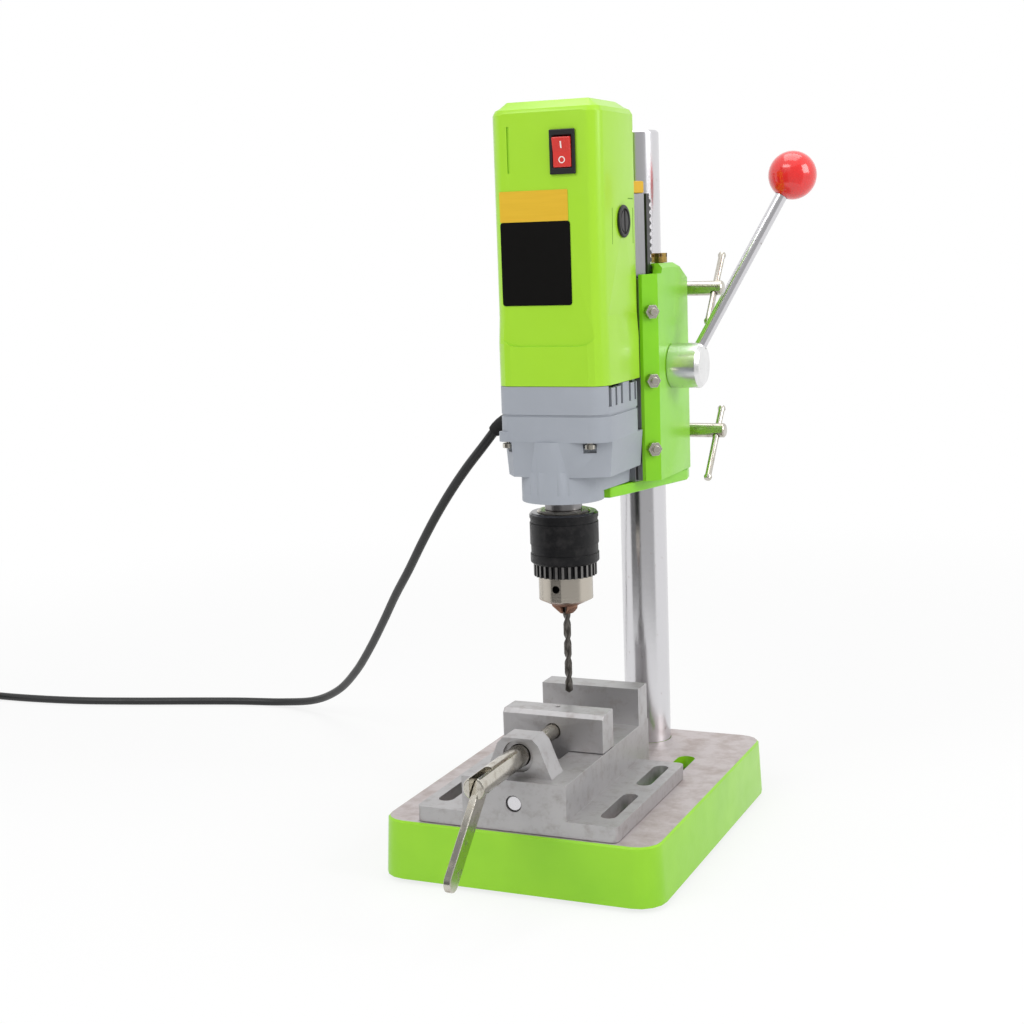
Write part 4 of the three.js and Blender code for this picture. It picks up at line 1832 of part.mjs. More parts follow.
// The coil winds in on the bench, climbs a layer where it turns back, and winds out on top
function coilPoints() {
  const count = Math.round(COIL_TURNS * COIL_STEPS_PER_TURN);
  const sweep = 2 * Math.PI * COIL_TURNS;
  const points = [];
  for (let i = 0; i <= count; i += 1) {
    const turned = (sweep * i) / count;
    const inward = Math.min(turned, sweep - turned);
    const radius = COIL_OUTER_RADIUS - (COIL_STEP_OUT * inward) / (2 * Math.PI);
    const climb = THREE.MathUtils.smoothstep(turned, sweep / 2 - Math.PI / 2, sweep / 2 + Math.PI / 2);
    const angle = COIL_START + turned;
    points.push(new THREE.Vector3(
      radius * Math.cos(angle),
      radius * Math.sin(angle),
      CORD_DIAMETER / 2 + CORD_LIFT + COIL_LAYER_RISE * climb,
    ));
  }
  // Both ends run straight on, along the tangent
  const straight = (point, angle, reach) => point.clone()
    .add(new THREE.Vector3(-Math.sin(angle), Math.cos(angle), 0).multiplyScalar(reach));
  const first = straight(points[0], COIL_START, -CORD_DIAMETER);
  const last = straight(points.at(-1), COIL_START + sweep, CORD_DIAMETER);
  return [first, ...points, last];
}

// The least gap between stretches of the coil that are more than half a turn apart
function leastSelfGap(points) {
  const apart = COIL_STEPS_PER_TURN / 2;
  let least = Infinity;
  for (let i = 0; i < points.length; i += 1) {
    for (let k = i + apart; k < points.length; k += 1) {
      least = Math.min(least, points[i].distanceTo(points[k]) - CORD_DIAMETER);
    }
  }
  return least;
}

function cordCoil() {
  const points = coilPoints();
  const length = points.slice(1).reduce((sum, point, i) => sum + point.distanceTo(points[i]), 0);
  console.log(`coil: ${length.toFixed(0)} mm, least gap to itself ${leastSelfGap(points).toFixed(2)} mm`);
  return tubeThrough(points, points.map(() => CORD_DIAMETER / 2), COIL_SIDES);
}

piece("cord_coil", cordCoil(), BLACK_RUBBER).position.set(COIL_X, COIL_Y, 0);

// A two-pin plug, drawn along +X from the end of the coil
function mainsPlug() {
  const neckEnd = GAP + PLUG_NECK_LENGTH;
  const bodyEnd = neckEnd + PLUG_LENGTH;
  const neck = 2 * PLUG_NECK_RADIUS;
  const neckRoot = neck + PLUG_CORNER / 2;
  const round = PLUG_NECK_RADIUS - GAP;
  const bodyOutline = (inset) =>
    roundedRect(PLUG_WIDTH - 2 * inset, PLUG_HEIGHT - 2 * inset, PLUG_CORNER - inset);
  const body = lofted([
    { outline: roundedRect(neck, neck, round), level: GAP },
    { outline: roundedRect(neckRoot, neckRoot, round), level: neckEnd },
    { outline: bodyOutline(0), level: neckEnd + PLUG_CORNER },
    { outline: bodyOutline(0), level: bodyEnd - OVERRUN },
    { outline: bodyOutline(OVERRUN), level: bodyEnd },
  ]);
  const pins = [-PLUG_PIN_SPACING / 2, PLUG_PIN_SPACING / 2].map((x) =>
    disc(PLUG_PIN_RADIUS, bodyEnd - OVERRUN, bodyEnd + PLUG_PIN_LENGTH, SMALL_SIDES).translate(x, 0, 0));
  return join(body, ...pins).rotateX(Math.PI / 2).rotateZ(Math.PI / 2);
}

const coilEnd = coilPoints().at(-1);
const plugTurn = COIL_START + 2 * Math.PI * COIL_TURNS + Math.PI / 2;
const plugGroup = groupAt(COIL_X + coilEnd.x, COIL_Y + coilEnd.y, coilEnd.z);
plugGroup.rotation.z = plugTurn;
piece("mains_plug", mainsPlug(), BLACK_RUBBER, plugGroup);

press.updateMatrixWorld(true);
export default press;
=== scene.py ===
import json
from math import asin, atan2, cos, hypot, pi, radians, sin, sqrt

import bmesh
import bpy
from mathutils import Matrix, Vector

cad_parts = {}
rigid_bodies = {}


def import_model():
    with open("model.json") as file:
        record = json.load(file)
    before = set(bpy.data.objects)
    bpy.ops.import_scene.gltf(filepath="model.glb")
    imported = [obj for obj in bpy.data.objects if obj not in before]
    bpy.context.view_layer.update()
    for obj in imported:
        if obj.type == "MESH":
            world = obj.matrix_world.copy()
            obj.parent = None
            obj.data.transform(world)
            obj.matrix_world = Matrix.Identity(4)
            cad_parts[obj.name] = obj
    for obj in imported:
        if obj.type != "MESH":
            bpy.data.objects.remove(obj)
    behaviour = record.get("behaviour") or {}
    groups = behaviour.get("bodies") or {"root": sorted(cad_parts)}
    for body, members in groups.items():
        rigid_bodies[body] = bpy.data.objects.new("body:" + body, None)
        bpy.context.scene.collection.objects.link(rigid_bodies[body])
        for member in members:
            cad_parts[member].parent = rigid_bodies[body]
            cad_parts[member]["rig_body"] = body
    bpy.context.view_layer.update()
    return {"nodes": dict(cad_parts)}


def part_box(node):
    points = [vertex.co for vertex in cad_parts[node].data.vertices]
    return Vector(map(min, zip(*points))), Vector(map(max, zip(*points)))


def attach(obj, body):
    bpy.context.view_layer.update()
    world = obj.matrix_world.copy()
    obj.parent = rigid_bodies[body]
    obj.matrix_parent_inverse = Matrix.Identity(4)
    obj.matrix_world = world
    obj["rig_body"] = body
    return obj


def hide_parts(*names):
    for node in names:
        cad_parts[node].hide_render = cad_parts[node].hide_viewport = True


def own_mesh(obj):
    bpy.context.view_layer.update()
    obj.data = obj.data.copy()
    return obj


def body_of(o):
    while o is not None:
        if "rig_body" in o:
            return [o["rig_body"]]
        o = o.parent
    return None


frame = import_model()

scene = bpy.context.scene
scene.view_settings.view_transform = "Standard"

# The camera: in front of the machine and to its right, at the height of the motor's cover,
# about a metre away, and looking slightly down.
CAMERA_PLACE = Vector((0.40577, -1.02487, 0.39723))
CAMERA_YAW = 0.415
CAMERA_PITCH = 0.160
CAMERA_ROLL = -0.035
CAMERA_LENS = 60.21
CAMERA_SENSOR = 36

look = Vector((-sin(CAMERA_YAW) * cos(CAMERA_PITCH), cos(CAMERA_YAW) * cos(CAMERA_PITCH), -sin(CAMERA_PITCH)))
level = Vector((cos(CAMERA_YAW), sin(CAMERA_YAW), 0))
upward = level.cross(look)
to_right = cos(CAMERA_ROLL) * level + sin(CAMERA_ROLL) * upward
to_top = cos(CAMERA_ROLL) * upward - sin(CAMERA_ROLL) * level
camera_data = bpy.data.cameras.new("camera")
camera_data.lens = CAMERA_LENS
camera_data.sensor_width = CAMERA_SENSOR
camera = bpy.data.objects.new("camera", camera_data)
turn = Matrix((to_right, to_top, -look)).transposed()
camera.matrix_world = Matrix.Translation(CAMERA_PLACE) @ turn.to_4x4()
scene.collection.objects.link(camera)
scene.camera = camera


# The mains cord: a smooth black sheath of 6.4 mm, 1.75 m long. It leaves the head by the
# strain relief, drops behind the base and lies on the bench to a coil and its plug.
CORD_DIAMETER = 0.0064
CORD_EXIT = Vector((-0.063642, 0.015, 0.267768))
CORD_ROUTE = [
    (-0.0723, 0.0156, 0.2578), (-0.087, 0.020, 0.2425), (-0.103, 0.027, 0.225),
    (-0.120, 0.036, 0.205), (-0.138, 0.048, 0.183), (-0.157, 0.063, 0.160),
    (-0.178, 0.081, 0.137), (-0.201, 0.103, 0.111), (-0.227, 0.128, 0.083),
    (-0.257, 0.156, 0.054), (-0.291, 0.184, 0.028), (-0.327, 0.205, 0.011),
    (-0.364, 0.214, 0.0042), (-0.404, 0.208, 0.0034), (-0.446, 0.196, 0.0034),
    (-0.496, 0.181, 0.0034), (-0.548, 0.168, 0.0034), (-0.602, 0.1615, 0.0034),
    (-0.645, 0.1608, 0.0034), (-0.6613, 0.1608, 0.0034),
]
COIL_MIDDLE = Vector((-0.668, 0.118, 0))
COIL_RADIUS = 0.0428
COIL_TURNS = 4.3
COIL_STEP_OUT = 0.007
COIL_RISE = 0.0071
COIL_LOW = 0.0034
COIL_TURN_STEPS = 48
LEAD_STEPS = 8
CORD_ROUND_STEPS = 5


def along(points, steps):
    """Points on the smooth centripetal curve through a list of points."""
    ends = [points[0] * 2 - points[1], *points, points[-1] * 2 - points[-2]]
    made = []
    for a, b, c, d in zip(ends, ends[1:], ends[2:], ends[3:]):
        t1 = sqrt((b - a).length)
        t2 = t1 + sqrt((c - b).length)
        t3 = t2 + sqrt((d - c).length)
        for i in range(steps):
            t = t1 + (t2 - t1) * i / steps
            ab = a * ((t1 - t) / t1) + b * (t / t1)
            bc = b * ((t2 - t) / (t2 - t1)) + c * ((t - t1) / (t2 - t1))
            cd = c * ((t3 - t) / (t3 - t2)) + d * ((t - t2) / (t3 - t2))
            low = ab * ((t2 - t) / t2) + bc * (t / t2)
            high = bc * ((t3 - t) / (t3 - t1)) + cd * ((t - t1) / (t3 - t1))
            made.append(low * ((t2 - t) / (t2 - t1)) + high * ((t - t1) / (t2 - t1)))
    return [*made, points[-1]]


def coil_points():
    """The coil winds inwards for half its turns, steps up, and winds outwards on top."""
    sweep = 2 * pi * COIL_TURNS
    count = round(COIL_TURNS * COIL_TURN_STEPS)
    made = []
    for i in range(count + 1):
        swept = sweep * i / count
        inward = min(swept, sweep - swept)
        radius = COIL_RADIUS - COIL_STEP_OUT * inward / (2 * pi)
        share = min(1, max(0, (swept - sweep / 2 + pi / 2) / pi))
        height = COIL_LOW + COIL_RISE * share * share * (3 - 2 * share)
        angle = pi / 2 + swept
        made.append(COIL_MIDDLE + Vector((radius * cos(angle), radius * sin(angle), height)))
    return made


coil = coil_points()
coil_end_angle = pi / 2 + 2 * pi * COIL_TURNS
coil_end = coil[-1] + Vector((-sin(coil_end_angle), cos(coil_end_angle), 0)) * CORD_DIAMETER
lead = along([CORD_EXIT, *map(Vector, CORD_ROUTE)], LEAD_STEPS)
cord_points = [*lead, *coil, coil_end]
cord_data = bpy.data.curves.new("cord_centre_line", "CURVE")
cord_data.dimensions = "3D"
cord_data.bevel_depth = CORD_DIAMETER / 2
cord_data.bevel_resolution = CORD_ROUND_STEPS
cord_data.use_fill_caps = True
cord_line = cord_data.splines.new("POLY")
cord_line.points.add(len(cord_points) - 1)
for point, place in zip(cord_line.points, cord_points):
    point.co = (*place, 1)
cord_line.use_smooth = True
centre_line = bpy.data.objects.new("cord_centre_line", cord_data)
scene.collection.objects.link(centre_line)
bpy.context.view_layer.update()
shown_line = centre_line.evaluated_get(bpy.context.evaluated_depsgraph_get())
cord = bpy.data.objects.new("mains_cord", bpy.data.meshes.new_from_object(shown_line))
scene.collection.objects.link(cord)
bpy.data.objects.remove(centre_line)


class Wire:
    """The value in a shader node's socket, for use in plain arithmetic."""

    def __init__(self, finish, socket):
        self.finish = finish
        self.socket = socket

    def _math(self, operation, first, second):
        return self.finish.node("ShaderNodeMath", {"operation": operation}, {0: first, 1: second})

    def __add__(self, other):
        return self._math("ADD", self, other)

    __radd__ = __add__

    def __sub__(self, other):
        return self._math("SUBTRACT", self, other)

    def __rsub__(self, other):
        return self._math("SUBTRACT", other, self)

    def __mul__(self, other):
        return self._math("MULTIPLY", self, other)

    __rmul__ = __mul__


class Finish:
    """One procedural material, with its shader and its nodes."""

    def __init__(self, name, **constants):
        self.material = bpy.data.materials.new(name)
        self.material.use_nodes = True
        self.tree = self.material.node_tree
        self.shader = self.tree.nodes["Principled BSDF"]
        for socket, value in constants.items():
            self.shader.inputs[socket.replace("_", " ")].default_value = value

    def node(self, kind, settings=None, sockets=None, output=0):
        made = self.tree.nodes.new(kind)
        for name, value in (settings or {}).items():
            setattr(made, name, value)
        for name, value in (sockets or {}).items():
            self._feed(made.inputs[name], value)
        return Wire(self, made.outputs[output])

    def _feed(self, socket, value):
        if isinstance(value, Wire):
            self.tree.links.new(value.socket, socket)
        else:
            socket.default_value = value

    def give(self, **inputs):
        for name, value in inputs.items():
            self._feed(self.shader.inputs[name.replace("_", " ")], value)

    def place(self):
        return self.node("ShaderNodeTexCoord", output="Object")

    def axes(self):
        split = self.node("ShaderNodeSeparateXYZ", None, {0: self.place()}).socket.node
        return [Wire(self, output) for output in split.outputs]

    def noise(self, scale, detail=3, place=None, rough=0.5):
        sockets = {"Vector": place or self.place(), "Scale": scale, "Detail": detail, "Roughness": rough}
        return self.node("ShaderNodeTexNoise", None, sockets)

    def stretched(self, x, y, z):
        return self.node("ShaderNodeVectorMath", {"operation": "MULTIPLY"}, {0: self.place(), 1: (x, y, z)})

    def fade(self, value, low, high):
        """0 up to the low value, 1 from the high one, and even in between."""
        made = self.node("ShaderNodeValToRGB", None, {"Fac": value})
        for element, place in zip(made.socket.node.color_ramp.elements, (low, high)):
            element.position = place
        return made

    def blend(self, share, first, second):
        """Two colours mixed: a colour mix takes them in its sockets 6 and 7."""
        sockets = {0: share, 6: first, 7: second}
        return self.node("ShaderNodeMix", {"data_type": "RGBA"}, sockets, output=2)

    def bump(self, height, distance, strength):
        sockets = {"Height": height, "Distance": distance, "Strength": strength}
        self.give(Normal=self.node("ShaderNodeBump", None, sockets))


def painted(red, green, blue):
    """A colour given as it looks on a screen, in the values that the shader takes."""
    def linear(value):
        share = value / 255
        return share / 12.92 if share <= 0.04045 else ((share + 0.055) / 1.055) ** 2.4
    return (linear(red), linear(green), linear(blue), 1)


sheath = Finish("black_cord_sheath", Base_Color=painted(24, 25, 26), Specular_IOR_Level=0.45)
sheath.give(Roughness=0.34 + 0.18 * sheath.noise(60, 3))
sheath.bump(sheath.noise(900, 2), distance=0.0001, strength=0.35)
cord.data.materials.clear()
cord.data.materials.append(sheath.material)
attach(cord, "stand")
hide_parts("cord_lead", "cord_coil")


WELD_WITHIN = 0.000002
FLAT_WITHIN = radians(0.4)


def dressed(node, finish, edge, segments, sharp, others=()):
    """The node's own solid with its edges rounded and its curved faces shaded smooth."""
    source = frame["nodes"][node]
    mesh = source.data.copy()
    form = bmesh.new()
    form.from_mesh(mesh)
    bmesh.ops.remove_doubles(form, verts=form.verts, dist=WELD_WITHIN)
    bmesh.ops.dissolve_limit(form, angle_limit=FLAT_WITHIN, verts=form.verts, edges=form.edges)
    form.to_mesh(mesh)
    form.free()
    piece = bpy.data.objects.new("visible_" + node, mesh)
    scene.collection.objects.link(piece)
    mesh.materials.clear()
    mesh.materials.append(finish.material)
    mesh.shade_smooth()
    mesh.set_sharp_from_angle(angle=radians(sharp))
    if edge:
        bevel = piece.modifiers.new("rounded", "BEVEL")
        bevel.width = edge
        bevel.segments = segments
        bevel.limit_method = "ANGLE"
        bevel.angle_limit = radians(sharp)
        bevel.harden_normals = True
        evaluated = piece.evaluated_get(bpy.context.evaluated_depsgraph_get())
        rounded = bpy.data.meshes.new_from_object(evaluated)
        piece.modifiers.clear()
        piece.data = rounded
    for other in others:
        piece.data.materials.append(other.material)
    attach(piece, body_of(source)[0])
    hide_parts(node)
    return piece


rubber = Finish("soft_black_rubber", Base_Color=painted(28, 28, 29), Specular_IOR_Level=0.3)
rubber.give(Roughness=0.6 + 0.25 * rubber.noise(180, 3))
rubber.bump(rubber.noise(1500, 2), distance=0.0002, strength=0.4)
dressed("strain_relief", rubber, edge=0.0004, segments=2, sharp=50)
plug = dressed("mains_plug", sheath, edge=0.0008, segments=3, sharp=40)
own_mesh(cord)


# The base: a grey iron casting in glossy lime enamel, its top milled bare. The four rubber
# feet are pressed into bosses under the corners.
BASE_TOP = 0.040
MILLED_DEPTH = 0.0006
MILLED_FACING_SHARE = 0.95


def enamel(name, colour, deep, rough):
    """Sprayed enamel: a slight orange peel, and a little unevenness of tone and gloss in random patches."""
    finish = Finish(name, Specular_IOR_Level=0.36, Coat_Roughness=0.12)
    cloud = finish.noise(22, 3)
    finish.give(
        Base_Color=finish.blend(finish.fade(cloud, 0.35, 0.75), colour, deep),
        Roughness=rough + 0.12 * finish.noise(90, 4),
        Coat_Weight=0.12 + 0.08 * cloud,
    )
    finish.bump(finish.noise(420, 2), distance=0.00025, strength=0.25)
    return finish


base_enamel = enamel("lime_enamel_base", painted(150, 212, 40), painted(138, 202, 34), 0.28)
milled_iron = Finish("milled_grey_iron", Metallic=0.75, Specular_IOR_Level=0.5)
cutter_marks = milled_iron.noise(1, 4, milled_iron.stretched(40, 1400, 40), 0.6)
iron_stain = milled_iron.fade(milled_iron.noise(70, 5, rough=0.65), 0.42, 0.66)
milled_iron.give(
    Base_Color=milled_iron.blend(iron_stain, painted(198, 190, 190), painted(176, 164, 161)),
    Roughness=0.42 + 0.2 * cutter_marks,
)
milled_iron.bump(cutter_marks, distance=0.0002, strength=0.25)
base = dressed("base_casting", base_enamel, edge=0.0009, segments=3, sharp=30,
               others=[milled_iron])
for face in base.data.polygons:
    if face.normal.z > MILLED_FACING_SHARE and face.center.z > BASE_TOP - MILLED_DEPTH:
        face.material_index = 1
for foot in range(1, 5):
    dressed(f"foot_{foot}", rubber, edge=0.0006, segments=2, sharp=40)


# The column: a hard-chromed round bar, pulled into the base by one bolt from below. The
# chrome has faint turning marks and a few specks.
chrome = Finish("hard_chrome", Metallic=1.0)
specks = chrome.fade(chrome.noise(260, 4, rough=0.7), 0.66, 0.74)
rings = chrome.noise(1, 3, chrome.stretched(60, 60, 2400))
chrome.give(
    Base_Color=chrome.blend(specks, painted(214, 213, 216), painted(158, 146, 138)),
    Roughness=0.15 + 0.1 * rings + 0.2 * specks,
)
chrome.bump(rings, distance=0.00008, strength=0.15)
steel = Finish("ground_steel", Metallic=1.0)
grind = steel.noise(1, 4, steel.stretched(900, 900, 60), 0.6)
steel.give(
    Base_Color=steel.blend(steel.noise(40, 3), painted(158, 157, 158), painted(132, 130, 131)),
    Roughness=0.24 + 0.18 * grind,
)
steel.bump(grind, distance=0.0001, strength=0.2)
dressed("column", chrome, edge=0.0004, segments=2, sharp=40)
dressed("column_bolt", steel, edge=0.0004, segments=2, sharp=32)


# The drill vise: an aluminium casting with milled faces, a sliding jaw on a round guide,
# and a nickelled screw whose flat handle folds in a fork.
alloy = Finish("milled_alloy", Metallic=0.82, Specular_IOR_Level=0.5)
alloy_lines = alloy.noise(1, 4, alloy.stretched(500, 30, 500), 0.6)
alloy_cloud = alloy.noise(30, 4, rough=0.6)
alloy_dirt = alloy.fade(alloy.noise(120, 5, rough=0.7), 0.5, 0.72)
alloy.give(
    Base_Color=alloy.blend(
        alloy_dirt * 0.5,
        alloy.blend(alloy_cloud, painted(194, 192, 192), painted(170, 169, 171)),
        painted(150, 140, 136)),
    Roughness=0.36 + 0.16 * alloy_lines + 0.08 * alloy_dirt,
)
alloy.bump(alloy_lines + 0.5 * alloy.noise(700, 2), distance=0.0002, strength=0.22)
nickel = Finish("nickel_plate", Metallic=1.0)
nickel_wear = nickel.fade(nickel.noise(150, 5, rough=0.7), 0.5, 0.7)
nickel.give(
    Base_Color=nickel.blend(nickel_wear, painted(198, 194, 184), painted(160, 152, 138)),
    Roughness=0.2 + 0.2 * nickel_wear,
)
nickel.bump(nickel.noise(500, 3), distance=0.0001, strength=0.2)
dressed("vise_body", alloy, edge=0.0006, segments=3, sharp=30)
dressed("movable_jaw", alloy, edge=0.0006, segments=3, sharp=30)
dressed("guide_rod", chrome, edge=0.0003, segments=2, sharp=35)
dressed("vise_screw", nickel, edge=0.0003, segments=2, sharp=32)
dressed("vise_handle", nickel, edge=0.0008, segments=3, sharp=32)


# The bracket: an iron casting in lime enamel that rides on the column in a split bronze
# bush. Its bore, slide ways and ears are machined after painting.
bracket_enamel = enamel("lime_enamel_bracket", painted(140, 216, 30), painted(128, 206, 26), 0.26)
bronze = Finish("bronze_bush", Metallic=1.0)
bronze.give(
    Base_Color=bronze.blend(bronze.noise(90, 4), painted(176, 136, 84), painted(146, 108, 66)),
    Roughness=0.3 + 0.2 * bronze.noise(300, 3),
)
brass = Finish("turned_brass", Metallic=1.0)
brass.give(
    Base_Color=brass.blend(brass.noise(260, 4, rough=0.7), painted(190, 158, 84), painted(128, 104, 62)),
    Roughness=0.26 + 0.2 * brass.noise(400, 3),
)
dressed("slide_bracket", bracket_enamel, edge=0.0009, segments=3, sharp=28)
dressed("column_bush", bronze, edge=0.0002, segments=1, sharp=40)
dressed("oil_plug", brass, edge=0.0003, segments=2, sharp=32)
dressed("gib_strip", steel, edge=0.0003, segments=1, sharp=30)
for screw in range(1, 4):
    dressed(f"gib_screw_{screw}", nickel, edge=0.0003, segments=2, sharp=32)


# The slide and its drive: a ground dovetail bar with a rack behind it, a yellow block on
# top, and a pinion shaft whose left end carries the return spring in its cup.
dark_steel = Finish("oiled_dark_steel", Metallic=1.0)
oil = dark_steel.noise(140, 4, rough=0.65)
dark_steel.give(
    Base_Color=dark_steel.blend(oil, painted(84, 84, 86), painted(58, 57, 58)),
    Roughness=0.3 + 0.2 * oil,
)
slide_steel = Finish("ground_slide_steel", Metallic=1.0)
slide_lines = slide_steel.noise(1, 4, slide_steel.stretched(1600, 1600, 40), 0.6)
slide_steel.give(
    Base_Color=slide_steel.blend(slide_lines, painted(150, 150, 152), painted(126, 126, 129)),
    Roughness=0.3 + 0.16 * slide_lines,
)
slide_steel.bump(slide_lines, distance=0.0001, strength=0.2)
yellow = Finish("yellow_top_block", Base_Color=painted(228, 178, 44), Specular_IOR_Level=0.4)
yellow.give(Roughness=0.4 + 0.2 * yellow.noise(300, 3))
yellow.bump(yellow.noise(900, 2), distance=0.0001, strength=0.2)
black_moulding = Finish("black_moulding", Base_Color=painted(26, 26, 28), Specular_IOR_Level=0.45)
black_moulding.give(Roughness=0.36 + 0.2 * black_moulding.noise(400, 3))
black_moulding.bump(black_moulding.noise(1200, 2), distance=0.00012, strength=0.3)
dressed("slide_bar", slide_steel, edge=0.0004, segments=2, sharp=30)
dressed("feed_rack", dark_steel, edge=0.0001, segments=1, sharp=30)
dressed("rack_stop", yellow, edge=0.0008, segments=3, sharp=30)
dressed("head_shelf", bracket_enamel, edge=0.0009, segments=3, sharp=30)
dressed("pinion_shaft", steel, edge=0.0, segments=1, sharp=32)
dressed("spring_cup", black_moulding, edge=0.0008, segments=3, sharp=35)


def carried(nodes, finish):
    """Nodes inside the machine, which keep their own faces and take a finish."""
    for node in nodes:
        mesh = frame["nodes"][node].data
        mesh.materials.clear()
        mesh.materials.append(finish.material)


carried(["return_spring"], dark_steel)


# The feed lever: a polished hub on the pinion shaft, a chromed rod screwed into it, and
# a red ball of moulded phenolic on its end.
polished = Finish("polished_hub", Metallic=1.0)
hub_lines = polished.noise(1, 3, polished.stretched(2600, 90, 90))
polished.give(
    Base_Color=polished.blend(hub_lines, painted(240, 240, 240), painted(222, 222, 222)),
    Roughness=0.16 + 0.16 * hub_lines,
)
polished.bump(hub_lines, distance=0.0001, strength=0.25)
red_phenolic = Finish("red_phenolic", Specular_IOR_Level=0.6, Coat_Roughness=0.04)
red_swirl = red_phenolic.noise(60, 3)
red_phenolic.give(
    Base_Color=red_phenolic.blend(red_swirl, painted(238, 38, 36), painted(216, 26, 26)),
    Roughness=0.14 + 0.1 * red_phenolic.noise(200, 3),
    Coat_Weight=0.6 + 0.1 * red_swirl,
)
dressed("lever_hub", polished, edge=0.0004, segments=2, sharp=32)
dressed("lever_rod", chrome, edge=0.0003, segments=2, sharp=40)

BALL_RADIUS = 0.016
BALL_BORE = 0.0043
BALL_BORE_TOP = 0.004
BALL_SIDES = 56
BALL_STEPS = 28
LEVER_AXIS_Y = 0.069
LEVER_AXIS_Z = 0.3078
LEVER_MEET_X = 0.057
LEVER_LEAN = radians(18.6)
LEVER_SPLAY = radians(25)
LEVER_REACH = 0.1425
lever_turn = Matrix.Rotation(-LEVER_LEAN, 4, "X") @ Matrix.Rotation(LEVER_SPLAY, 4, "Y")
lever_place = Matrix.Translation((LEVER_MEET_X, LEVER_AXIS_Y, LEVER_AXIS_Z)) @ lever_turn


def turned(name, profile, sides, place, finish, sharp):
    """A turned piece from (radius, height) pairs, placed by a matrix."""
    form = bmesh.new()
    rings_made = []
    for radius, height in profile:
        if radius == 0:
            rings_made.append([form.verts.new((0, 0, height))])
            continue
        rings_made.append([
            form.verts.new((radius * cos(2 * pi * k / sides), radius * sin(2 * pi * k / sides), height))
            for k in range(sides)])
    for low, high in zip(rings_made, rings_made[1:]):
        for k in range(sides):
            following = (k + 1) % sides
            corners = [low[k % len(low)], low[following % len(low)],
                       high[following % len(high)], high[k % len(high)]]
            form.faces.new(list(dict.fromkeys(corners)))
    mesh = bpy.data.meshes.new(name)
    form.to_mesh(mesh)
    form.free()
    mesh.transform(place)
    mesh.shade_smooth()
    mesh.set_sharp_from_angle(angle=radians(sharp))
    mesh.materials.append(finish.material)
    piece = bpy.data.objects.new(name, mesh)
    scene.collection.objects.link(piece)
    return piece


ball_profile = [(0, BALL_BORE_TOP), (BALL_BORE, BALL_BORE_TOP),
                (BALL_BORE, -sqrt(BALL_RADIUS ** 2 - BALL_BORE ** 2))]
ball_start = asin(BALL_BORE / BALL_RADIUS)
for step in range(1, BALL_STEPS + 1):
    bend = ball_start + (pi - ball_start) * step / BALL_STEPS
    ball_profile.append((BALL_RADIUS * sin(bend) if step < BALL_STEPS else 0, -BALL_RADIUS * cos(bend)))
ball = turned("ball_knob", ball_profile, BALL_SIDES,
              lever_place @ Matrix.Translation((0, 0, LEVER_REACH)), red_phenolic, 50)
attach(ball, "lever")
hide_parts("lever_ball")


# The clamps: two nickelled screws draw the bracket's ears together, each turned by a
# loose bar with peened ends.
for which in ("low", "high"):
    dressed(f"clamp_screw_{which}", nickel, edge=0.0003, segments=2, sharp=35)
    dressed(f"clamp_bar_{which}", nickel, edge=0.0003, segments=2, sharp=40)


# The gear housing: grey moulded plastic with a fine matt grain, screwed up under the
# motor. The vents are cut through its right wall.
grey = Finish("grey_moulding", Specular_IOR_Level=0.4)
grey_cloud = grey.noise(35, 3)
grey.give(
    Base_Color=grey.blend(grey_cloud, painted(165, 170, 178), painted(154, 159, 168)),
    Roughness=0.42 + 0.16 * grey.noise(250, 3),
)
grey.bump(grey.noise(1400, 2), distance=0.00012, strength=0.35)
dressed("gear_housing", grey, edge=0.0008, segments=3, sharp=26)
for screw in (1, 2):
    dressed(f"housing_screw_{screw}", nickel, edge=0.0003, segments=2, sharp=35)


# The motor cover: one glossy lime moulding, open at the bottom, with a sunk front panel.
# It carries the switch, two brush caps, and a plate and band that are left bare.
cover_plastic = Finish("lime_cover_moulding", Specular_IOR_Level=0.4, Coat_Roughness=0.1)
cover_cloud = cover_plastic.noise(18, 3)
cover_plastic.give(
    Base_Color=cover_plastic.blend(cover_cloud, painted(168, 222, 50), painted(160, 215, 44)),
    Roughness=0.26 + 0.12 * cover_plastic.noise(120, 4),
    Coat_Weight=0.14 + 0.08 * cover_cloud,
)
cover_plastic.bump(cover_plastic.noise(700, 2), distance=0.00012, strength=0.2)
CORNER_START_X = 0.025
CORNER_START_Y = 0.020
CORNER_DEPTH = 0.011
CORNER_RADIUS = 0.004
LEFT_SHIFT = 0.002
ROUNDING = 0.00001


def squarer_rear(piece):
    """Draws the two rear corners out to a smaller radius, within the solid's own walls."""
    kept_share = CORNER_RADIUS / CORNER_DEPTH
    for vertex in piece.data.vertices:
        side = 1 if vertex.co.x > 0 else -1
        start = CORNER_START_X + (LEFT_SHIFT if vertex.co.x < 0 else 0)
        out = side * vertex.co.x - start
        back = vertex.co.y - CORNER_START_Y
        if min(out, back) < -ROUNDING:
            continue
        pushed = (1 - kept_share) * hypot(out, back)
        vertex.co.x = side * (start + pushed + kept_share * out)
        vertex.co.y = CORNER_START_Y + pushed + kept_share * back


squarer_rear(dressed("motor_cover", cover_plastic, edge=0.0012, segments=4, sharp=24))

PANEL_Y = -0.0358
LABEL_THICKNESS = 0.0004
LABEL_CLEAR = 0.00003
LABEL_CORNER_STEPS = 6
PLATE_LEFT = -0.031
PLATE_RIGHT = 0.0155
PLATE_LOW = 0.3536
PLATE_TOP = 0.405
PLATE_CORNER = 0.0018
BAND_RIGHT = 0.0145
BAND_LOW = 0.4051
BAND_TOP = 0.424
BAND_CORNER = 0.0008


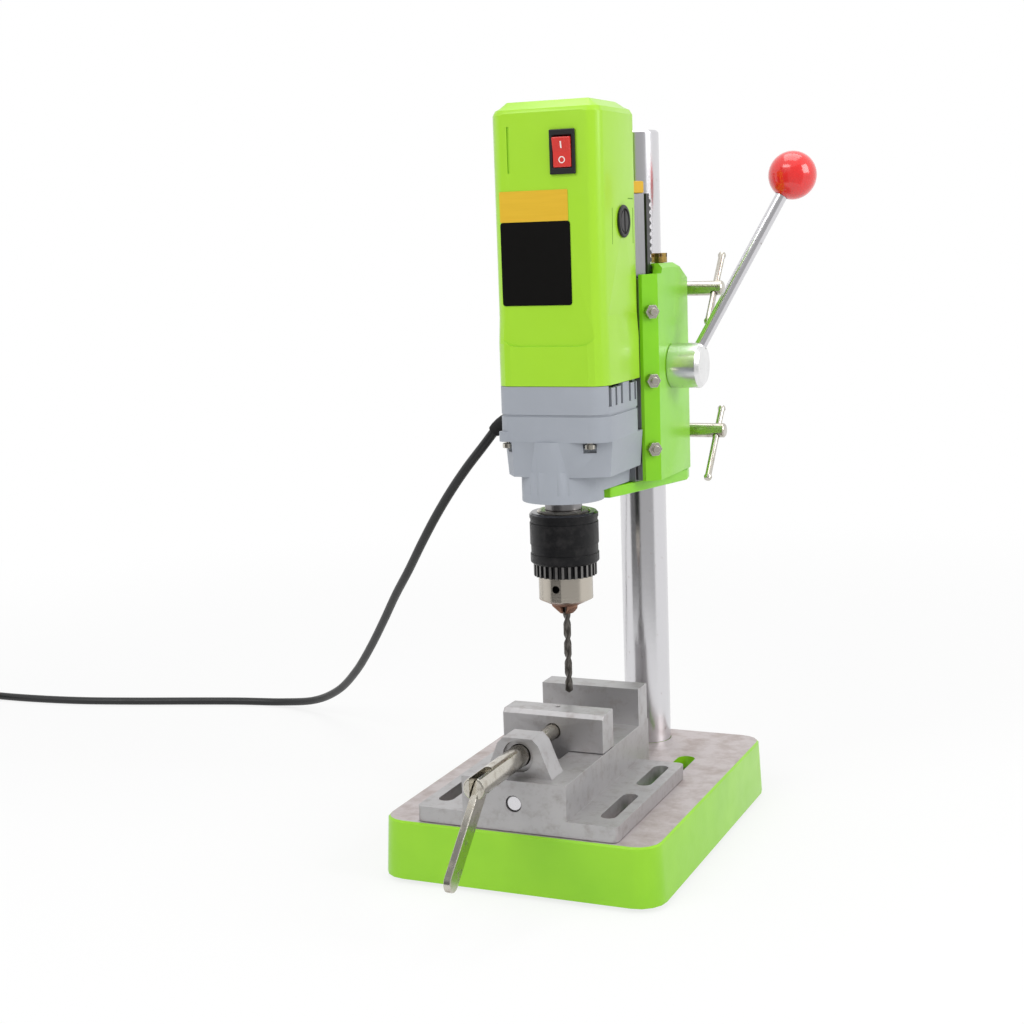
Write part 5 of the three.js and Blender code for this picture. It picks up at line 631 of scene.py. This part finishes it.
def wall(form, first, second):
    """Joins two closed rings of points by a wall of four-sided faces."""
    for k in range(len(first)):
        following = (k + 1) % len(first)
        form.faces.new((first[k], first[following], second[following], second[k]))


def label(name, left, right, low, high, corner, finish):
    """A thin sheet with rounded corners, stuck on the panel."""
    form = bmesh.new()
    outline = []
    for x, z, start in ((right - corner, high - corner, 0), (left + corner, high - corner, 1),
                        (left + corner, low + corner, 2), (right - corner, low + corner, 3)):
        for k in range(LABEL_CORNER_STEPS + 1):
            bend = (start + k / LABEL_CORNER_STEPS) * pi / 2
            outline.append((x + corner * cos(bend), z + corner * sin(bend)))
    front = [form.verts.new((x, PANEL_Y - LABEL_CLEAR - LABEL_THICKNESS, z)) for x, z in outline]
    back = [form.verts.new((x, PANEL_Y - LABEL_CLEAR, z)) for x, z in outline]
    form.faces.new(front)
    form.faces.new(back[::-1])
    wall(form, front, back)
    bmesh.ops.recalc_face_normals(form, faces=form.faces)
    mesh = bpy.data.meshes.new(name)
    form.to_mesh(mesh)
    form.free()
    mesh.materials.append(finish.material)
    piece = bpy.data.objects.new(name, mesh)
    scene.collection.objects.link(piece)
    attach(piece, "head")


black_foil = Finish("bare_black_foil", Base_Color=painted(16, 15, 14), Specular_IOR_Level=0.1)
black_foil.give(Roughness=0.36 + 0.16 * black_foil.noise(200, 4))
black_foil.bump(black_foil.noise(90, 3), distance=0.0002, strength=0.1)
gold_foil = Finish("bare_gold_foil", Metallic=0.2, Specular_IOR_Level=0.5)
gold_foil.give(
    Base_Color=gold_foil.blend(gold_foil.noise(1, 3, gold_foil.stretched(30, 30, 500)),
                               painted(240, 196, 50), painted(226, 180, 38)),
    Roughness=0.34 + 0.14 * gold_foil.noise(160, 4),
)
label("bare_plate", PLATE_LEFT, PLATE_RIGHT, PLATE_LOW, PLATE_TOP, PLATE_CORNER, black_foil)
label("bare_band", PLATE_LEFT, BAND_RIGHT, BAND_LOW, BAND_TOP, BAND_CORNER, gold_foil)

dressed("switch_bezel", black_moulding, edge=0.0006, segments=3, sharp=30)
red_rocker = Finish("red_rocker", Base_Color=painted(214, 58, 52), Specular_IOR_Level=0.6)
red_rocker.give(Roughness=0.2 + 0.12 * red_rocker.noise(300, 3))
dressed("switch_rocker", red_rocker, edge=0.0007, segments=3, sharp=30)

# The rocker's marks: a bar on its upper face and a ring on its lower one, printed in white.
ROCKER_MIDDLE = Vector((0.0122, -0.0358, 0.4465))
ROCKER_TILT = radians(7)
ROCKER_DISH = atan2(0.00085, 0.0091)
MARK_LEVEL = 0.00455
MARK_DEPTH = 0.002875
MARK_THICKNESS = 0.00012
MARK_CLEAR = 0.00003
BAR_HALF_WIDTH = 0.00045
BAR_HALF_HEIGHT = 0.0021
RING_OUTER = 0.0021
RING_INNER = 0.0015
RING_SIDES = 32
white_ink = Finish("white_ink", Base_Color=painted(240, 228, 224))
white_ink.give(Roughness=0.5 + 0.1 * white_ink.noise(500, 2))


def mark(name, outline, hole, up):
    """A thin print on the rocker's upper face, or for up = -1 on its lower one."""
    form = bmesh.new()
    levels = (-MARK_CLEAR, -MARK_CLEAR - MARK_THICKNESS)
    outer = [[form.verts.new((x, y, z)) for x, z in outline] for y in levels]
    inner = [[form.verts.new((x, y, z)) for x, z in hole] for y in levels]
    wall(form, *outer)
    wall(form, *inner)
    for rim, inner_rim in zip(outer, inner):
        if hole:
            wall(form, rim, inner_rim)
        else:
            form.faces.new(rim)
    bmesh.ops.recalc_face_normals(form, faces=form.faces)
    mesh = bpy.data.meshes.new(name)
    form.to_mesh(mesh)
    form.free()
    tilted = Matrix.Translation(ROCKER_MIDDLE) @ Matrix.Rotation(ROCKER_TILT, 4, "X")
    on_face = Matrix.Translation((0, -MARK_DEPTH, up * MARK_LEVEL))
    mesh.transform(tilted @ on_face @ Matrix.Rotation(up * ROCKER_DISH, 4, "X"))
    mesh.materials.append(white_ink.material)
    piece = bpy.data.objects.new(name, mesh)
    scene.collection.objects.link(piece)
    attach(piece, "rocker")


def circle(radius):
    steps = [2 * pi * k / RING_SIDES for k in range(RING_SIDES)]
    return [(radius * cos(step), radius * sin(step)) for step in steps]


bar_outline = [(-BAR_HALF_WIDTH, -BAR_HALF_HEIGHT), (BAR_HALF_WIDTH, -BAR_HALF_HEIGHT),
               (BAR_HALF_WIDTH, BAR_HALF_HEIGHT), (-BAR_HALF_WIDTH, BAR_HALF_HEIGHT)]
mark("on_mark", bar_outline, [], 1)
mark("off_mark", circle(RING_OUTER), circle(RING_INNER), -1)

# The brush caps: black moulded screws with a rim, a sunk face and a coin slot between two
# lands. A thin line moulded into the cover's sides frames each of them, drawn in painted shade.
CAP_RADIUS = 0.0102
CAP_PROUD = 0.0019
CAP_RIM = 0.0021
CAP_SINK = 0.0011
CAP_STEM_RADIUS = 0.006
CAP_STEM = 0.009
CAP_LAND_RADIUS = 0.0068
CAP_LAND_LOW = 0.0003
CAP_LAND_ROOT = 0.0001
CAP_SLOT_HALF = 0.0009
CAP_SEAT = 0.0003
CAP_BACK_EDGE = 0.0002
CAP_EDGE = 0.0006
CAP_SLOPE = 0.0004
CAP_LAND_STEPS = 14
CAP_SIDES = 48


def brush_cap(name, side, node):
    """A cap on the cover's right wall, or for side = -1 on its left one."""
    middle = (Vector(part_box(node)[0]) + Vector(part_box(node)[1])) / 2
    outer_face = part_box(node)[1][0] if side > 0 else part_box(node)[0][0]
    place = Matrix.Translation((outer_face, middle.y, middle.z)) @ Matrix.Rotation(side * pi / 2, 4, "Y")
    seat = CAP_SEAT - CAP_PROUD
    well = CAP_RADIUS - CAP_RIM
    profile = [(0, -CAP_STEM), (CAP_STEM_RADIUS, -CAP_STEM), (CAP_STEM_RADIUS, seat),
               (CAP_RADIUS - CAP_BACK_EDGE, seat), (CAP_RADIUS, CAP_EDGE - CAP_PROUD),
               (CAP_RADIUS, -CAP_EDGE), (CAP_RADIUS - CAP_EDGE, 0), (well, 0),
               (well - CAP_SLOPE, -CAP_SINK), (0, -CAP_SINK)]
    cap = turned(name, profile, CAP_SIDES, place, black_moulding, 25)
    form = bmesh.new()
    for half in (1, -1):
        start = asin(CAP_SLOT_HALF / CAP_LAND_RADIUS)
        rim = [start + (pi - 2 * start) * k / CAP_LAND_STEPS for k in range(CAP_LAND_STEPS + 1)]
        outline = [(CAP_LAND_RADIUS * cos(a), half * CAP_LAND_RADIUS * sin(a)) for a in rim]
        low = [form.verts.new((x, y, -CAP_SINK - CAP_LAND_ROOT)) for x, y in outline]
        high = [form.verts.new((x, y, -CAP_LAND_LOW)) for x, y in outline]
        form.faces.new(high)
        form.faces.new(low[::-1])
        wall(form, low, high)
    bmesh.ops.recalc_face_normals(form, faces=form.faces)
    form.transform(place)
    mesh = bpy.data.meshes.new(name + "_lands")
    form.to_mesh(mesh)
    form.free()
    mesh.materials.append(black_moulding.material)
    lands = bpy.data.objects.new(name + "_lands", mesh)
    scene.collection.objects.link(lands)
    for made in (cap, lands):
        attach(made, "head")
    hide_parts(node)


brush_cap("right_brush_cap", 1, "brush_cap_right")
brush_cap("left_brush_cap", -1, "brush_cap_left")

# Each line of that frame from one (y, z) place on the wall to another.
HATCH_LINES = [((-0.0141, 0.4120), (-0.0149, 0.3897)), ((0.0150, 0.4178), (0.0240, 0.4178)),
               ((0.0236, 0.4120), (0.0232, 0.3897))]
HATCH_HALF = 0.00032
HATCH_SINK = 0.00008
COVER_RIGHT = 0.0352
COVER_LEFT = -0.0372
# Painted shade: the lines are thin strips of a darker green than the cover, standing for the shade along the
# moulded line.
shadow_line = Finish("painted_shade_line", Base_Color=painted(96, 150, 22), Specular_IOR_Level=0.3)
shadow_line.give(Roughness=0.5 + 0.1 * shadow_line.noise(300, 2))
for side, surface in ((1, COVER_RIGHT), (-1, COVER_LEFT)):
    form = bmesh.new()
    for (y1, z1), (y2, z2) in HATCH_LINES:
        run = hypot(y2 - y1, z2 - z1)
        out_y, out_z = (z2 - z1) / run * HATCH_HALF, -(y2 - y1) / run * HATCH_HALF
        corners = [(y1 + out_y, z1 + out_z), (y2 + out_y, z2 + out_z),
                   (y2 - out_y, z2 - out_z), (y1 - out_y, z1 - out_z)]
        outer = [form.verts.new((surface + side * HATCH_SINK, y, z)) for y, z in corners]
        inner = [form.verts.new((surface - side * HATCH_SINK, y, z)) for y, z in corners]
        form.faces.new(outer)
        form.faces.new(inner[::-1])
        wall(form, inner, outer)
    bmesh.ops.recalc_face_normals(form, faces=form.faces)
    mesh = bpy.data.meshes.new("painted_shade_lines_" + ("right" if side > 0 else "left"))
    form.to_mesh(mesh)
    form.free()
    mesh.materials.append(shadow_line.material)
    lines = bpy.data.objects.new(mesh.name, mesh)
    scene.collection.objects.link(lines)
    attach(lines, "head")


# Inside the head: the motor's field and armature, its bearings, the plate that carries
# them, and the gear that turns the spindle.
copper = Finish("motor_windings", Metallic=0.9)
windings = copper.noise(1, 4, copper.stretched(700, 700, 60))
copper.give(
    Base_Color=copper.blend(windings, painted(176, 112, 66), painted(120, 104, 98)),
    Roughness=0.32 + 0.2 * windings,
)
copper.bump(windings, distance=0.0003, strength=0.3)
carried(["armature"], copper)
carried(["stator"], dark_steel)
carried(["gear_plate"], alloy)
carried(["lower_bearing", "upper_bearing", "spindle_bearing"], chrome)
dressed("spindle", steel, edge=0.0, segments=1, sharp=32)


# The chuck: a black knurled sleeve with a ring of key teeth, on a bright body that has
# rusted a little at the nose. Three jaws hold a twist drill.
SPINDLE_X = -0.004
SPINDLE_Y = -0.012
KNURL_AROUND = 90
KNURL_ALONG = 4000
sleeve_black = Finish("black_knurled_sleeve", Metallic=0.25, Specular_IOR_Level=0.3)
sleeve_x, sleeve_y, sleeve_z = sleeve_black.axes()
bearing = sleeve_black.node(
    "ShaderNodeMath", {"operation": "ARCTAN2"}, {0: sleeve_y - SPINDLE_Y, 1: sleeve_x - SPINDLE_X})
across = bearing * KNURL_AROUND
upwards = sleeve_z * KNURL_ALONG
left_hand = sleeve_black.node("ShaderNodeMath", {"operation": "SINE"}, {0: across + upwards})
right_hand = sleeve_black.node("ShaderNodeMath", {"operation": "SINE"}, {0: across - upwards})
dust = sleeve_black.fade(sleeve_black.noise(150, 5, rough=0.65), 0.45, 0.75)
sleeve_black.give(
    Base_Color=sleeve_black.blend(dust * 0.5, painted(20, 20, 22), painted(58, 56, 56)),
    Roughness=0.34 + 0.18 * dust,
)
sleeve_black.bump(left_hand * right_hand, distance=0.00012, strength=0.35)
NOSE_RUST_TOP = 0.1655
RUST_WAVER = 0.006
RUST_STEEPNESS = 320
nose = Finish("bright_rusting_body", Metallic=1.0)
rust_edge = nose.axes()[2] + RUST_WAVER * nose.noise(160, 4)
rust = nose.fade((NOSE_RUST_TOP - rust_edge) * RUST_STEEPNESS + 0.5, 0, 1)
turning = nose.noise(1, 3, nose.stretched(50, 50, 2200))
nose.give(
    Base_Color=nose.blend(rust * 0.8, painted(190, 183, 172), painted(150, 100, 76)),
    Roughness=0.2 + 0.1 * turning + 0.3 * rust,
)
nose.bump(turning, distance=0.0001, strength=0.2)
worn_steel = Finish("worn_tooth_steel", Metallic=0.9)
tooth_wear = worn_steel.noise(300, 4, rough=0.7)
worn_steel.give(
    Base_Color=worn_steel.blend(tooth_wear, painted(150, 148, 146), painted(88, 86, 86)),
    Roughness=0.3 + 0.2 * tooth_wear,
)
gloss_black = Finish("polished_black_rim", Metallic=0.9)
gloss_black.give(
    Base_Color=gloss_black.blend(gloss_black.noise(200, 3), painted(104, 104, 107), painted(80, 80, 84)),
    Roughness=0.14 + 0.1 * gloss_black.noise(300, 3),
)
# Painted shade: the faces inside the body's key holes take a near-black colour, so that the holes read dark.
painted_hole_shade = Finish("painted_key_hole_shade", Metallic=0.6, Specular_IOR_Level=0.3)
painted_hole_shade.give(
    Base_Color=painted_hole_shade.blend(painted_hole_shade.noise(400, 3), painted(34, 32, 31), painted(22, 21, 20)),
    Roughness=0.5 + 0.2 * painted_hole_shade.noise(300, 3),
)
TEETH_TOP = 0.1873
TOOTH_CREST_RADIUS = 0.0201
SLEEVE_RIM_LOW = 0.2195
HOLES_LOW = 0.166
HOLES_HIGH = 0.179
HOLE_REACH_SHARE = 0.93


def from_spindle(point):
    """How far a point lies from the spindle's axis."""
    return hypot(point.x - SPINDLE_X, point.y - SPINDLE_Y)


sleeve = dressed("chuck_sleeve", sleeve_black, edge=0.0003, segments=2, sharp=28,
                 others=[worn_steel, gloss_black])
for face in sleeve.data.polygons:
    if face.center.z < TEETH_TOP and from_spindle(face.center) > TOOTH_CREST_RADIUS:
        face.material_index = 1
    elif face.center.z > SLEEVE_RIM_LOW:
        face.material_index = 2
body = dressed("chuck_body", nose, edge=0.0004, segments=2, sharp=28, others=[painted_hole_shade])
body_radius = max(from_spindle(vertex.co) for vertex in body.data.vertices if vertex.co.z < HOLES_HIGH)
# The faces inside the key holes, between these heights, take the painted shade.
for face in body.data.polygons:
    inside = from_spindle(face.center) < HOLE_REACH_SHARE * body_radius
    if inside and HOLES_LOW < face.center.z < HOLES_HIGH:
        face.material_index = 1
for jaw in (1, 2, 3):
    dressed(f"chuck_jaw_{jaw}", nose, edge=0.0002, segments=1, sharp=35)

bit_steel = Finish("twist_drill_steel", Metallic=1.0)
bit_stain = bit_steel.noise(300, 4)
bit_steel.give(
    Base_Color=bit_steel.blend(bit_stain, painted(112, 108, 104), painted(76, 72, 68)),
    Roughness=0.24 + 0.16 * bit_stain,
)
dressed("drill_bit", bit_steel, edge=0.0, segments=1, sharp=40)


# The floor and the light: a pale bench that fades into a white backdrop, and soft lamps.
# Dark flags in front, seen only in reflections, give bright metal its darker bands.
FLOOR_HALF = 6.0
FLOOR_WHITE_SHARE = 0.8
FLOOR_FADE_START = 0.45
FLOOR_FADE_END = 1.3
AMBIENT = 0.42

floor_data = bpy.data.meshes.new("floor")
floor_corners = [(-FLOOR_HALF, -FLOOR_HALF, 0), (FLOOR_HALF, -FLOOR_HALF, 0),
                 (FLOOR_HALF, FLOOR_HALF, 0), (-FLOOR_HALF, FLOOR_HALF, 0)]
floor_data.from_pydata(floor_corners, [], [(0, 1, 2, 3)])
floor = bpy.data.objects.new("floor", floor_data)
scene.collection.objects.link(floor)
pale = Finish("pale_bench", Base_Color=(0.88, 0.88, 0.88, 1), Roughness=0.9, Specular_IOR_Level=0.1)
floor_data.materials.append(pale.material)


def seen_directly(tree):
    """1 for the rays that go to the camera, straight or by a mirror or a glass."""
    path_kind = tree.nodes.new("ShaderNodeLightPath")
    total = path_kind.outputs["Is Camera Ray"]
    for kind in ("Is Glossy Ray", "Is Transmission Ray"):
        greater = tree.nodes.new("ShaderNodeMath")
        greater.operation = "MAXIMUM"
        tree.links.new(total, greater.inputs[0])
        tree.links.new(path_kind.outputs[kind], greater.inputs[1])
        total = greater.outputs[0]
    return total


def mixed(tree, share, first, second, output):
    """Sends two shaders to an output, in the given share of the second."""
    mixer = tree.nodes.new("ShaderNodeMixShader")
    tree.links.new(share, mixer.inputs[0])
    tree.links.new(first, mixer.inputs[1])
    tree.links.new(second, mixer.inputs[2])
    tree.links.new(mixer.outputs[0], output)


white_glow = pale.node("ShaderNodeEmission", None, {"Color": (1, 1, 1, 1), "Strength": 1})
away = pale.node("ShaderNodeVectorMath", {"operation": "LENGTH"}, {0: pale.place()}, 1)
faded = pale.node(
    "ShaderNodeMapRange", {"interpolation_type": "SMOOTHSTEP"},
    {0: away, 1: FLOOR_FADE_START, 2: FLOOR_FADE_END, 3: FLOOR_WHITE_SHARE, 4: 1.0})
glow_share = Wire(pale, seen_directly(pale.tree)) * faded
floor_output = pale.tree.nodes["Material Output"].inputs["Surface"]
mixed(pale.tree, glow_share.socket, pale.shader.outputs[0], white_glow.socket, floor_output)

world = bpy.data.worlds.new("studio")
scene.world = world
world.use_nodes = True
studio = world.node_tree
ambient = studio.nodes["Background"]
ambient.inputs["Color"].default_value = (1, 1, 1, 1)
ambient.inputs["Strength"].default_value = AMBIENT
backdrop = studio.nodes.new("ShaderNodeBackground")
backdrop.inputs["Color"].default_value = (1, 1, 1, 1)
backdrop.inputs["Strength"].default_value = 1
mixed(studio, seen_directly(studio), ambient.outputs[0], backdrop.outputs[0],
      studio.nodes["World Output"].inputs["Surface"])

FLAG_DISTANCE = 0.53
FLAG_HEIGHT = 0.9
FLAG_SIDES = 12


def flag(name, start, end, shade):
    """An upright curved card that only reflections show."""
    form = bmesh.new()
    rows = []
    for i in range(FLAG_SIDES + 1):
        angle = radians(start + (end - start) * i / FLAG_SIDES)
        x, y = FLAG_DISTANCE * cos(angle), FLAG_DISTANCE * sin(angle)
        rows.append((form.verts.new((x, y, 0)), form.verts.new((x, y, FLAG_HEIGHT))))
    for first, second in zip(rows, rows[1:]):
        form.faces.new((first[0], second[0], second[1], first[1]))
    mesh = bpy.data.meshes.new(name)
    form.to_mesh(mesh)
    form.free()
    card = bpy.data.objects.new(name, mesh)
    scene.collection.objects.link(card)
    cloth = Finish(name, Base_Color=(0, 0, 0, 1), Specular_IOR_Level=0, Roughness=1)
    cloth.shader.inputs["Emission Color"].default_value = (shade, shade, shade, 1)
    cloth.shader.inputs["Emission Strength"].default_value = 1
    mesh.materials.append(cloth.material)
    card.visible_camera = False
    card.visible_diffuse = False
    card.visible_shadow = False
    card.visible_transmission = False


flag("dark_flag", start=-145, end=-86, shade=0.16)
flag("grey_flag", start=-86, end=-8, shade=0.5)


def lamp(name, place, aim, size, watts):
    """A square soft box, aimed at the machine."""
    data = bpy.data.lights.new(name, "AREA")
    data.shape = "SQUARE"
    data.size = size
    data.energy = watts
    made = bpy.data.objects.new(name, data)
    made.location = place
    made.rotation_euler = (Vector(aim) - Vector(place)).to_track_quat("-Z", "Y").to_euler()
    scene.collection.objects.link(made)


lamp("front_lamp", place=(-0.5, -1.5, 1.5), aim=(0, 0, 0.2), size=1.2, watts=18)
lamp("right_lamp", place=(1.7, -0.1, 1.1), aim=(0, 0, 0.25), size=1.0, watts=15)
lamp("top_lamp", place=(0, 0.3, 2.2), aim=(0, 0, 0.2), size=1.6, watts=16)
